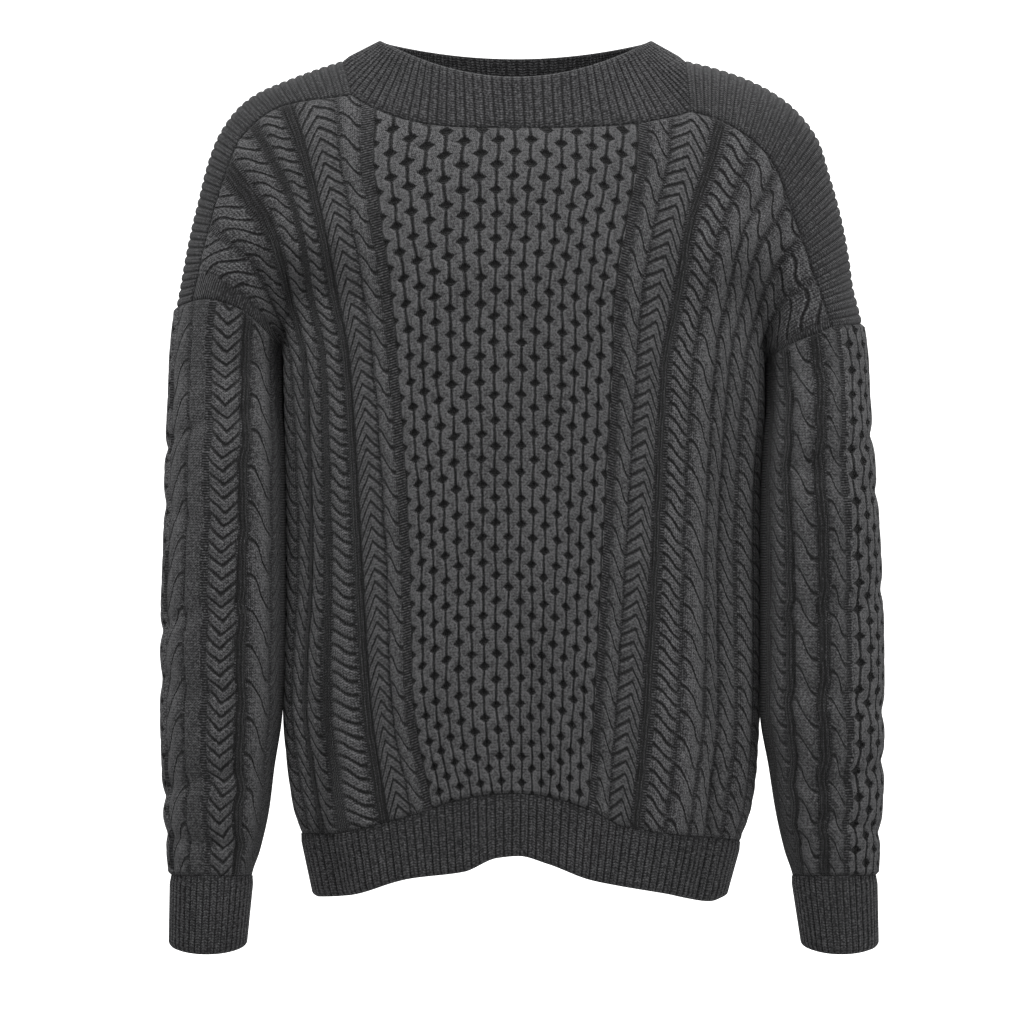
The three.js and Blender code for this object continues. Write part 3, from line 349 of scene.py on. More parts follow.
def roundTop(phase):
    # rounded lobes with sharp valleys between them, one for each whole number
    u = 2 * (phase - np.floor(phase)) - 1
    return np.sqrt(np.clip(1 - u * u, 0, 1))


def hollow(index, b, cell):
    # half width of the hollows along one line between two strands
    rows = b / cell["high"] + 0.5 * np.mod(index, 2)
    away = np.abs(rows - np.round(rows)) * cell["high"] / cell["hollowHigh"]
    return cell["hollowWide"] * np.clip(1 - away, 0, 1)


def honeycomb(a, b, cell):
    # strands touch their neighbours by turns, round staggered hollows
    gap = cell["wide"] / 2
    line = np.round(a / gap)
    gapHalf = hollow(line, b, cell)
    edge = np.clip((np.abs(a - line * gap) - gapHalf) / cell["round"], 0, 1)
    first = np.floor(a / gap)
    lean = (hollow(first, b, cell) - hollow(first + 1, b, cell)) / 2
    return cell["relief"] * np.sqrt(1 - (1 - edge) ** 2), lean


def rope(x, b, kind, half):
    # a two-strand cable: long lobes that lean to one side, one behind the other
    u = np.clip(x / kind["half"], -1, 1)
    phase = b / kind["pitch"] + kind["lean"] * (kind["twist"] * u + 0.13 * np.sin(math.pi * u))
    body = np.sqrt(np.clip(1 - u * u, 0, 1))
    return kind["relief"] * body * (0.3 + 0.7 * roundTop(phase)), kind["lean"] * u * 1.5, phase


def chevron(x, b, kind, half):
    # slanting stitches that meet in the middle, the outer ones steeper
    slope = np.where(x * half > 0, kind["outer"], kind["inner"])
    phase = (b + kind["point"] * np.abs(x) * slope) / kind["pitch"]
    u = np.clip(np.abs(x) / kind["half"], 0, 1)
    body = np.sqrt(np.clip(1 - u ** 4, 0, 1))
    return kind["relief"] * body * (0.35 + 0.65 * roundTop(phase)), np.zeros(np.shape(x)), phase


def doubleLine(x, b, kind, half):
    # two fine ridges side by side, with grooves beside and between them
    raised = np.sqrt(np.clip(1 - (x / kind["half"]) ** 4, 0, 1))
    return kind["relief"] * raised, np.zeros(np.shape(x)), x / kind["pitch"]


def moss(x, b, kind, half):
    # single raised stitches, staggered from row to row
    across = x / kind["pitch"] + 0.5 * np.mod(np.floor(b / kind["pitch"]), 2)
    height = kind["relief"] * roundTop(across) * roundTop(b / kind["pitch"])
    return height, np.zeros(np.shape(x)), np.full(np.shape(x), 0.5)


def ladder(x, b, kind, half):
    # purl stitches: short ridges across a low strip
    return kind["relief"] * roundTop(b / kind["pitch"]), np.zeros(np.shape(x)), np.full(np.shape(x), 0.5)


def plain(x, b, kind, half):
    return np.full(np.shape(x), kind["relief"]), np.zeros(np.shape(x)), np.full(np.shape(x), 0.5)


reliefs = {
    "rope": rope, "chevron": chevron, "line": doubleLine, "moss": moss, "ladder": ladder, "plain": plain,
}
purl = {"pitch": 2.4, "relief": 0.5}  # the ground between the columns, in mm


def unevenness(a, b):
    # the pattern wanders by up to a millimetre, as no two stitches are pulled alike
    aside = 0.45 * np.sin(b / 9.1 + a / 23) + 0.35 * np.sin(b / 3.7 - a / 7.3)
    along = 0.55 * np.sin(a / 8.3 + b / 31) + 0.45 * np.sin(a / 4.1 - b / 11.7)
    return a + aside, b + along


def patternAt(a, b, chosen, columns, cell, cellEdge):
    # height, lean, groove phase, groove spacing, share of honeycomb, share of purl at every point;
    # "chosen" says where each point's column is looked up
    a, b = unevenness(a, b)
    inCells = (np.abs(chosen) < cellEdge) * 1.0
    cellHeight, cellLean = honeycomb(a, b, cell)
    groundHeight = ladder(a, b, purl, 0)[0]
    height = np.where(inCells > 0, cellHeight, groundHeight)
    lean = np.where(inCells > 0, cellLean, 0)
    phase, spacing, purled = np.full(a.shape, 0.5), np.full(a.shape, 10.0), 1 - inCells
    for half, table in columns.items():
        for column in table:
            inside = np.abs(chosen - half * column["at"]) <= column["half"]
            rise, tilt, grooves = reliefs[column["kind"]](a - half * column["at"], b, column, half)
            height, lean = np.where(inside, rise, height), np.where(inside, tilt, lean)
            phase, spacing = np.where(inside, grooves, phase), np.where(inside, column["pitch"], spacing)
            purled = np.where(inside, 1.0 if column["kind"] == "ladder" else 0.0, purled)
    return height, lean, phase, spacing, inCells, purled


def quadCorners(grid):
    # the four corners of every quad of a grid, in the order that meshShell uses
    return np.stack([grid[:-1, :-1], grid[1:, :-1], grid[1:, 1:], grid[:-1, 1:]], -1)


def cornerLayers(a, b, columns, cell, cellEdge, fade):
    # UV layers worked out quad by quad, so that a column's edge stays sharp
    aa, bb, still = quadCorners(a), quadCorners(b), quadCorners(fade)
    aa = np.where(np.abs(aa - aa[..., :1]) > 40, aa[..., :1], aa)
    chosen = np.broadcast_to(aa.mean(-1, keepdims=True), aa.shape)
    height, lean, phase, spacing, inCells, purled = patternAt(aa, bb, chosen, columns, cell, cellEdge)
    stitch = garment["stitchWide"], garment["stitchHigh"]
    knit = np.stack([(aa - lean) / stitch[0], bb / stitch[1]], -1)
    aa, bb = unevenness(aa, bb)
    return {
        "knitMap": knit,
        # depthMap X is the relief height, which the material paints as shade low down and highlight on top
        "depthMap": np.stack([height * still / 3, still], -1),
        "cableMap": np.stack([phase, spacing / 10], -1),
        "cellMap": np.stack([aa / cell["wide"] * 2, bb / cell["high"]], -1),
        "kindMap": np.stack([inCells, purled], -1),
    }


def meshShell(name, outer, inner, pickRows, pickColumns, around, layers, corners):
    # a closed wall: a detailed outer sheet, a plainer inner one, and the rims between them
    rows, columns = outer.shape[:2]
    innerRows, innerColumns = inner.shape[:2]
    vertices = np.concatenate([outer.reshape(-1, 3), inner.reshape(-1, 3)]) / 1000
    wrap = columns if around else columns - 1
    r, c = np.meshgrid(np.arange(rows - 1), np.arange(wrap), indexing="ij")
    r, c = r.ravel(), c.ravel()
    at = lambda rr, cc: rr * columns + cc % columns
    mapAt = lambda rr, cc: rr * (columns + 1) + cc
    quads = np.stack([at(r, c), at(r + 1, c), at(r + 1, c + 1), at(r, c + 1)], -1)
    quadMaps = np.stack([mapAt(r, c), mapAt(r + 1, c), mapAt(r + 1, c + 1), mapAt(r, c + 1)], -1)
    innerWrap = innerColumns if around else innerColumns - 1
    ends = list(pickColumns) + ([columns] if around else [])
    ends = np.array(ends)
    r, c = np.meshgrid(np.arange(innerRows - 1), np.arange(innerWrap), indexing="ij")
    r, c = r.ravel(), c.ravel()
    base = rows * columns
    innerAt = lambda rr, cc: base + rr * innerColumns + cc % innerColumns
    innerMap = lambda rr, cc: mapAt(np.asarray(pickRows)[rr], ends[cc])
    innerQuads = np.stack([innerAt(r, c), innerAt(r, c + 1), innerAt(r + 1, c + 1), innerAt(r + 1, c)], -1)
    innerMaps = np.stack([innerMap(r, c), innerMap(r, c + 1), innerMap(r + 1, c + 1), innerMap(r + 1, c)], -1)
    faces = quads.tolist() + innerQuads.tolist()
    maps = np.concatenate([quadMaps.ravel(), innerMaps.ravel()]).tolist()

    def rim(fine, coarse, fineMap, picks):
        for j in range(len(picks) - 1):
            low, high = picks[j], picks[j + 1]
            middle = (low + high + 1) // 2
            for k in range(low, high):
                corner = coarse(j) if k < middle else coarse(j + 1)
                faces.append([fine(k), fine(k + 1), corner])
                maps.extend([fineMap(k), fineMap(k + 1), fineMap(k)])
            faces.append([coarse(j), fine(middle), coarse(j + 1)])
            maps.extend([fineMap(low), fineMap(middle), fineMap(high)])

    for row, innerRow in ((0, 0), (rows - 1, innerRows - 1)):
        rim(lambda k: at(row, k), lambda j: innerAt(innerRow, j), lambda k: mapAt(row, k),
            [int(v) for v in ends])
    if not around:
        for column, innerColumn in ((0, 0), (columns - 1, innerColumns - 1)):
            rim(lambda k: at(k, column), lambda j: innerAt(j, innerColumn), lambda k: mapAt(k, column),
                [int(v) for v in pickRows])
    mesh = bpy.data.meshes.new(name)
    mesh.from_pydata(vertices.tolist(), [], faces)
    for layer, grid in layers.items():
        wide = np.concatenate([grid, 2 * grid[:, -1:] - grid[:, -2:-1]], 1).reshape(-1, 2)
        values = wide[maps]
        if corners:
            values[:quads.size] = corners[layer].reshape(-1, 2)
        mesh.uv_layers.new(name=layer).data.foreach_set("uv", values.ravel().astype(np.float32))
    work = bmesh.new()
    work.from_mesh(mesh)
    bmesh.ops.recalc_face_normals(work, faces=work.faces)
    work.to_mesh(mesh)
    work.free()
    mesh.polygons.foreach_set("use_smooth", np.ones(len(mesh.polygons), bool))
    piece = bpy.data.objects.new(name, mesh)
    bpy.context.collection.objects.link(piece)
    return piece


def every(count, step):
    return sorted(set(range(0, count, step)) | {count - 1})


def knitPiece(name, base, height, layers, around, step, corners=None, innerRelief=None, edgeRound=0):
    normal = gridNormals(base, around)
    lean = np.median(np.sum(normal * (base - base.reshape(-1, 3).mean(0)), -1))
    if lean < 0:
        normal = -normal
    outer = base + normal * height[..., None]
    pickRows = every(base.shape[0], step)
    pickColumns = list(range(0, base.shape[1], step)) if around else every(base.shape[1], step)
    pick = np.ix_(pickRows, pickColumns)
    depth = garment["wall"] + (0 if innerRelief is None else innerRelief[pick])
    inner = base[pick] - normal[pick] * np.broadcast_to(depth, (len(pickRows), len(pickColumns)))[..., None]
    if edgeRound:
        # the free edge is rolled: the last rows close in towards the wall's middle
        last = np.linspace(0, 1, edgeRound + 1)[1:]
        for k, share in enumerate(last):
            row = base.shape[0] - edgeRound + k
            outer[row] = base[row] + normal[row] * mix(height[row], -garment["wall"] / 2, share ** 2)[:, None]
    piece = meshShell(name, outer, inner, pickRows, pickColumns, around, layers, corners)
    print(name, "has", sum(len(p.vertices) - 2 for p in piece.data.polygons), "triangles")
    return piece


def plainLayers(knit, height, purled=0.0):
    # UV layers of a sheet without cables
    none = np.zeros(height.shape)
    return {
        "knitMap": knit,
        # depthMap X is the relief height, which the material paints as shade low down and highlight on top
        "depthMap": np.stack([height / 3, none + 1], -1),
        "cableMap": np.stack([none + 0.5, none + 1], -1),
        "cellMap": np.stack([none + 0.5, none], -1),
        "kindMap": np.stack([none, none + purled], -1),
    }


# Front and back panels: the columns of the pattern, in mm from the middle wale,
# for the wearer's right and left
panel = {
    "rows": 292, "columns": 300, "innerStep": 6, "fade": 3, "sideFade": {"front": (10, 30), "back": (1, 6)},
    "full": {"at": -262, "out": 2.4, "tall": 30, "near": 5, "far": 18, "end": 34},
    "cell": {"wide": 22.5, "high": 20.0, "hollowWide": 4.2, "hollowHigh": 3.6, "round": 3.4, "relief": 3.2},
    "cellEdge": 91,
    "columnsOut": {
        -1: [
            {"kind": "rope", "at": 107, "half": 8.0, "pitch": 19.5, "relief": 3.2, "twist": 0.42, "lean": 1},
            {"kind": "chevron", "at": 130.5, "half": 14.0, "pitch": 10.3, "relief": 2.8, "point": 1,
             "outer": 1.25, "inner": 0.75},
            {"kind": "line", "at": 149, "half": 4.0, "pitch": 2.9, "relief": 2.0},
            {"kind": "rope", "at": 163.5, "half": 8.0, "pitch": 10.8, "relief": 3.1, "twist": 0.62, "lean": 1},
            {"kind": "moss", "at": 175, "half": 3.0, "pitch": 2.5, "relief": 0.9},
            {"kind": "rope", "at": 187.5, "half": 8.5, "pitch": 14.0, "relief": 3.2, "twist": 0.62, "lean": 1},
            {"kind": "line", "at": 200.5, "half": 4.0, "pitch": 2.9, "relief": 1.9},
            {"kind": "rope", "at": 213, "half": 8.0, "pitch": 14.0, "relief": 3.0, "twist": 0.62, "lean": 1},
            {"kind": "rope", "at": 230.5, "half": 7.5, "pitch": 14.0, "relief": 2.6, "twist": 0.62, "lean": 1},
        ],
        1: [
            {"kind": "rope", "at": 107, "half": 8.0, "pitch": 19.5, "relief": 3.2, "twist": 0.42, "lean": 1},
            {"kind": "chevron", "at": 130.5, "half": 14.0, "pitch": 10.3, "relief": 2.8, "point": 1,
             "outer": 1.25, "inner": 0.75},
            {"kind": "line", "at": 149, "half": 4.0, "pitch": 2.9, "relief": 2.0},
            {"kind": "rope", "at": 163, "half": 7.5, "pitch": 10.5, "relief": 3.1, "twist": 0.62, "lean": 1},
            {"kind": "rope", "at": 182, "half": 9.5, "pitch": 21.0, "relief": 3.2, "twist": 0.57, "lean": 1},
            {"kind": "rope", "at": 203.5, "half": 9.5, "pitch": 21.0, "relief": 3.2, "twist": 0.57, "lean": 1},
            {"kind": "rope", "at": 225.5, "half": 9.5, "pitch": 16.0, "relief": 3.0, "twist": 0.62, "lean": 1},
            {"kind": "rope", "at": 246, "half": 8.0, "pitch": 14.0, "relief": 2.6, "twist": 0.55, "lean": 1},
            {"kind": "rope", "at": 264.5, "half": 8.5, "pitch": 14.0, "relief": 1.9, "twist": 0.55, "lean": 1},
        ],
    },
}


def makePanel(side):
    s = np.linspace(waleFlat[0], waleFlat[-1], panel["columns"])
    t = np.linspace(0, 1, panel["rows"])
    base = panelSurface(side, s, t)
    a = np.broadcast_to(s, base.shape[:2])
    b = soften(downLengths(base), 20, 1)
    # relief dies away at the seams
    fromTop = downLengths(base[::-1])[::-1]
    sides = np.linalg.norm(np.diff(base, axis=1), axis=-1)
    fromRight = np.concatenate([np.zeros((len(t), 1)), np.cumsum(sides, 1)], 1)
    fromSide = np.minimum(fromRight, fromRight[:, -1:] - fromRight)
    fade = smoothStep(0, panel["fade"], np.minimum(b, fromTop))
    low, high = panel["sideFade"][side]
    besideArm = smoothStep(garment["armpit"] - 0.02, garment["armpit"], t)[:, None]
    fade = fade * smoothStep(mix(0, low, besideArm), mix(panel["fade"], high, besideArm), fromSide)
    pattern = (panel["columnsOut"], panel["cell"], panel["cellEdge"])
    height = patternAt(a, b, a, *pattern)[0]
    height = height * fade
    if side == "back":
        # the cloth stands out beside the armpits, and runs into the sleeves there
        full = panel["full"]
        beside = smoothStep(0, full["near"], fromSide) * (1 - smoothStep(full["far"], full["end"], fromSide))
        height = height + full["out"] * beside * np.exp(-((base[..., 2] - full["at"]) / full["tall"]) ** 2)
    knit = np.stack([a / garment["stitchWide"], b / garment["stitchHigh"]], -1)
    return knitPiece(f"{side}Panel", base, height, plainLayers(knit, height), False, panel["innerStep"],
                     cornerLayers(a, b, *pattern, fade))


# Sleeves: the columns of the pattern, in mm round from the outermost wale, to the front and to the back
sleeve = {
    "rows": 262, "columns": 216, "innerStep": 6, "fade": 3, "quarter": 79, "plainFrom": 0.6, "plainTo": 0.9,
    "lattice": {"wide": 24.0, "high": 21.0, "hollowWide": 4.4, "hollowHigh": 3.8, "round": 3.4, "relief": 3.0},
    "latticeEdge": {"right": 18, "left": 54},
    "right": [
        {"kind": "rope", "at": 33, "half": 12, "pitch": 28.0, "relief": 3.2, "twist": 0.54, "lean": -1},
        {"kind": "plain", "at": 54, "half": 7, "pitch": 10.0, "relief": 1.6},
        {"kind": "chevron", "at": 77, "half": 11.0, "pitch": 10.6, "relief": 2.6, "point": -1, "outer": 0.95,
         "inner": 0.95},
        {"kind": "line", "at": 92.5, "half": 4.0, "pitch": 2.9, "relief": 1.9},
        {"kind": "rope", "at": 108.5, "half": 11.5, "pitch": 28.0, "relief": 3.2, "twist": 0.51, "lean": 1},
        {"kind": "rope", "at": 130, "half": 7, "pitch": 12.0, "relief": 2.6, "twist": 0.62, "lean": -1},
    ],
    "left": [
        {"kind": "rope", "at": 65.5, "half": 6.5, "pitch": 22.0, "relief": 2.8, "twist": 0.40, "lean": -1},
        {"kind": "line", "at": 77, "half": 4.0, "pitch": 2.9, "relief": 1.9},
        {"kind": "rope", "at": 91, "half": 9.0, "pitch": 26.0, "relief": 3.0, "twist": 0.40, "lean": -1},
        {"kind": "line", "at": 104, "half": 4.0, "pitch": 2.9, "relief": 1.9},
        {"kind": "rope", "at": 117, "half": 8.5, "pitch": 14.0, "relief": 3.0, "twist": 0.55, "lean": -1},
        {"kind": "line", "at": 130, "half": 4.0, "pitch": 2.9, "relief": 1.9},
    ],
}
sleeveEnds = {}


def sectionPoint(side, turn, z):
    table = sleeveSections[side]
    outer, inner = byHeight(table, 1, z), byHeight(table, 2, z)
    depth, swing = byHeight(table, 3, z), byHeight(table, 4, z)
    return np.stack([(outer + inner) / 2 + (inner - outer) / 2 * np.sin(turn),
                     -swing - depth * np.cos(turn), z], -1)


def armRing(side):
    seam = waleFlat[0] if side == "right" else waleFlat[-1]
    other = waleFlat[1] if side == "right" else waleFlat[-2]
    t = np.linspace(0, garment["armpit"], 120)
    lines = {}
    for which in ("front", "back"):
        pair = np.sort(np.array([seam, other]))
        grid = panelSurface(which, pair, t)
        lines[which] = grid[:, 0] if side == "right" else grid[:, 1]
    strapEnd = strapSurface(side, np.array([0.999, 1.0]), np.linspace(-1, 1, 61))[-1]
    return closeRing([strapEnd[:31][::-1], lines["front"][1:], lines["back"][::-1][1:], strapEnd[30:60][::-1]])


def makeSleeve(side):
    columns, rows = sleeve["columns"], sleeve["rows"]
    ring = ringAt(armRing(side), columns)
    table = sleeveSections[side]
    outerEdge, innerEdge = byHeight(table, 1, ring[:, 2]), byHeight(table, 2, ring[:, 2])
    middle, half = (outerEdge + innerEdge) / 2, (innerEdge - outerEdge) / 2
    turns = np.arctan2((ring[:, 0] - middle) / half, -ring[:, 1] / byHeight(table, 3, ring[:, 2]))
    turns = np.unwrap(turns)
    direction = 1 if turns[-1] > turns[0] else -1
    even = turns[0] + direction * 2 * math.pi * np.arange(columns) / columns
    v = np.linspace(0, 1, rows)[:, None]
    turn = mix(turns[None], even[None], smoothStep(0, 0.6, v))
    z = mix(ring[None, :, 2], garment["cuffTop"], v)
    seat = ring - sectionPoint(side, turns, ring[:, 2])
    base = sectionPoint(side, turn, z) + seat[None] * (1 - smoothStep(0, 0.14, v))[..., None]
    # creases, pressed in towards the arm's middle, and none where the sleeve lies against the body
    dent = np.zeros(z.shape)
    for level, fall, width, depth in sleeveCreases[side]:
        dent += depth * np.exp(-((z - level - fall * np.cos(turn - 0.6)) / width) ** 2)
    dent = dent * (1 - smoothStep(0.2, 0.7, np.sin(turn)))
    radial = np.stack([-np.sin(turn) * np.sign(table[0, 2] - table[0, 1]), np.cos(turn), z * 0], -1)
    base = base + radial * dent[..., None]
    steps = np.linalg.norm(np.roll(base, -1, 1) - base, axis=-1)
    along = np.concatenate([np.zeros((rows, 1)), np.cumsum(steps, 1)], 1)
    around = along[:, -1:]
    signed = np.where(along[:, :-1] < around / 2, along[:, :-1], along[:, :-1] - around)
    a = signed * (sleeve["quarter"] / (around / 4)) ** 0.6
    b = downLengths(base)
    fromTop = downLengths(base[::-1])[::-1]
    against = smoothStep(sleeve["plainFrom"], sleeve["plainTo"], np.sin(turn))
    fade = smoothStep(0, sleeve["fade"], np.minimum(b, fromTop)) * (1 - against)
    pattern = ({-1: sleeve[side], 1: sleeve[side]}, sleeve["lattice"], sleeve["latticeEdge"][side])
    height = patternAt(a, b, a, *pattern)[0]
    height = height * fade
    wrapped = [np.concatenate([grid, grid[:, :1]], 1) for grid in (a, b, fade)]
    knit = np.stack([a / garment["stitchWide"], b / garment["stitchHigh"]], -1)
    sleeveEnds[side] = base[-1]
    return knitPiece(f"{side}Sleeve", base, height, plainLayers(knit, height), True, sleeve["innerStep"],
                     cornerLayers(wrapped[0], wrapped[1], *pattern, wrapped[2]))


# Ribbed bands: how many ribs, rows and points to a rib, and how high the ribs stand
bands = {
    "collar": {"ribs": 106, "toRib": 8, "rows": 34, "relief": 2.0, "inside": 1.6, "step": 2},
    "hemRib": {"ribs": 136, "toRib": 8, "rows": 34, "relief": 1.9, "inside": 0.0, "step": 4},
    "cuff": {"ribs": 40, "toRib": 8, "rows": 34, "relief": 1.7, "inside": 0.0, "step": 4},
}


def ribProfile(phase):
    # a narrow gutter between rounded ribs
    u = np.abs(2 * (phase - np.floor(phase)) - 1)
    return np.sqrt(np.clip(1 - (u / 0.86) ** 2.4, 0, 1))


def makeBand(name, kind, ring, freeEdge):
    settings = bands[kind]
    columns = settings["ribs"] * settings["toRib"]
    top = ringAt(ring, columns)
    v = np.linspace(0, 1, settings["rows"])[:, None, None]
    base = mix(top[None], freeEdge(top)[None], v)
    phase = np.broadcast_to(np.arange(columns) / settings["toRib"], base.shape[:2])
    ribs = ribProfile(phase)
    b = downLengths(base)
    height = settings["relief"] * ribs * mix(0.45, 1, smoothStep(0, 7, b[:1] - b))
    inside = settings["inside"] * ribProfile(phase + 0.5) - 0.3 if settings["inside"] else None
    knit = np.stack([phase - 0.5, b / garment["stitchHigh"]], -1)
    return knitPiece(name, base, height, plainLayers(knit, height), True, settings["step"], None, inside, 3)


def collarRim(points):
    seam, rim = garment["neckSeam"], garment["rim"]
    seamDepth = np.where(points[:, 1] < 0, seam["front"], seam["back"])
    turn = np.arctan2(points[:, 0] / seam["halfWidth"], -points[:, 1] / seamDepth)
    turn = turn + seam["turn"] * np.sin(2 * turn)
    facing = np.cos(turn)
    depth = np.where(facing > 0, rim["front"], rim["back"])
    dip = np.where(facing > 0, rim["frontDip"], rim["backDip"])
    return np.stack([rim["x"] + rim["halfWidth"] * np.sin(turn), -depth * facing,
                     rim["side"] - dip * facing * facing], -1)


def hemEdge(points):
    share = (points[:, 0] + 168.5) / 341.5
    x = mix(-158, 161, share)
    z = curve(hemDrop[:, 0], hemDrop[:, 1], x)
    z = z + np.where(points[:, 1] > 0, curve(hemDrop[:, 0], hemDrop[:, 2], x), 0)
    return np.stack([x, points[:, 1] * 0.955, z], -1)


def cuffEdge(side):
    def edge(points):
        table = sleeveSections[side]
        top, low = garment["cuffTop"], garment["cuffBottom"]
        topX = (byHeight(table, 1, top) + byHeight(table, 2, top)) / 2
        lowX = (byHeight(table, 1, low) + byHeight(table, 2, low)) / 2
        topY, lowY = -byHeight(table, 4, top), -byHeight(table, 4, low)
        narrow = abs(byHeight(table, 2, low) - byHeight(table, 1, low))
        narrow /= abs(byHeight(table, 2, top) - byHeight(table, 1, top))
        dx, dy = points[:, 0] - topX, points[:, 1] - topY
        turn = np.arctan2(dx, -dy)
        return np.stack([lowX + dx * narrow, lowY + dy * narrow, low - 5 * np.cos(turn) ** 2], -1)
    return edge


def neckRing():
    wales = np.linspace(waleFlat[4], waleFlat[6], 240)
    front = panelSurface("front", wales, [0.0])[0]
    back = panelSurface("back", wales, [0.0])[0]
    q = np.linspace(-1, 1, 41)
    leftEnd = strapSurface("left", np.array([0.0, 0.001]), q)[0]
    rightEnd = strapSurface("right", np.array([0.0, 0.001]), q)[0]
    return closeRing([front, leftEnd[1:], back[::-1][1:], rightEnd[::-1][1:-1]])


def hemRing():
    wales = np.linspace(waleFlat[0], waleFlat[-1], 400)
    front = panelSurface("front", wales, [0.99, 1.0])[-1]
    back = panelSurface("back", wales, [0.99, 1.0])[-1]
    return closeRing([front, back[::-1][1:-1]])


# Saddle straps: the ribs run from front to back over the shoulder
strap = {"ribs": 38, "toRib": 8, "rows": 60, "relief": 1.2, "step": 4, "fade": 3}


def makeStrap(side):
    columns = strap["ribs"] * strap["toRib"] + 1
    shares = np.linspace(0, 1, columns)
    q = np.linspace(-1, 1, strap["rows"])
    base = strapSurface(side, shares, q)
    phase = np.broadcast_to((shares * strap["ribs"])[:, None], base.shape[:2])
    acrossSteps = np.linalg.norm(np.diff(base, axis=1), axis=-1)
    b = np.concatenate([np.zeros((columns, 1)), np.cumsum(acrossSteps, 1)], 1)
    edge = np.minimum(b, b[:, -1:] - b)
    height = strap["relief"] * ribProfile(phase) * mix(0.5, 1, smoothStep(0, strap["fade"], edge))
    knit = np.stack([phase - 0.5, b / garment["stitchHigh"]], -1)
    return knitPiece(f"{side}ShoulderStrap", base, height, plainLayers(knit, height), False, strap["step"])


def toLinear(hexColour):
    channels = [int(hexColour[i:i + 2], 16) / 255 for i in (1, 3, 5)]
    return [c / 12.92 if c <= 0.04045 else ((c + 0.055) / 1.055) ** 2.4 for c in channels] + [1.0]


def addNode(tree, kind, settings=None, inputs=None):
    # inputs are values, or nodes and sockets to link from
    node = tree.nodes.new(kind)
    for key, value in (settings or {}).items():
        setattr(node, key, value)
    for key, value in (inputs or {}).items():
        if isinstance(value, bpy.types.Node):
            value = value.outputs[0]
        if isinstance(value, bpy.types.NodeSocket):
            tree.links.new(value, node.inputs[key])
        else:
            node.inputs[key].default_value = value
    return node


# Wool, spun thick and knitted by machine, dyed charcoal: matt. Its colour has painted shade in the grooves
# and between stitches, and painted highlight on the tops of the stitches and the relief
wool = {
    # low is the painted shade at groove bottoms, high the painted highlight on stitch and relief tops
    "cable": {"name": "woolCableKnit", "low": "#050505", "middle": "#1d1d1e", "high": "#545455"},
    "rib": {"name": "woolRibKnit", "low": "#060606", "middle": "#1a1a1b", "high": "#4a4a4b"},
}
knitMaps = ("knitMap", "depthMap", "cableMap", "cellMap", "kindMap")


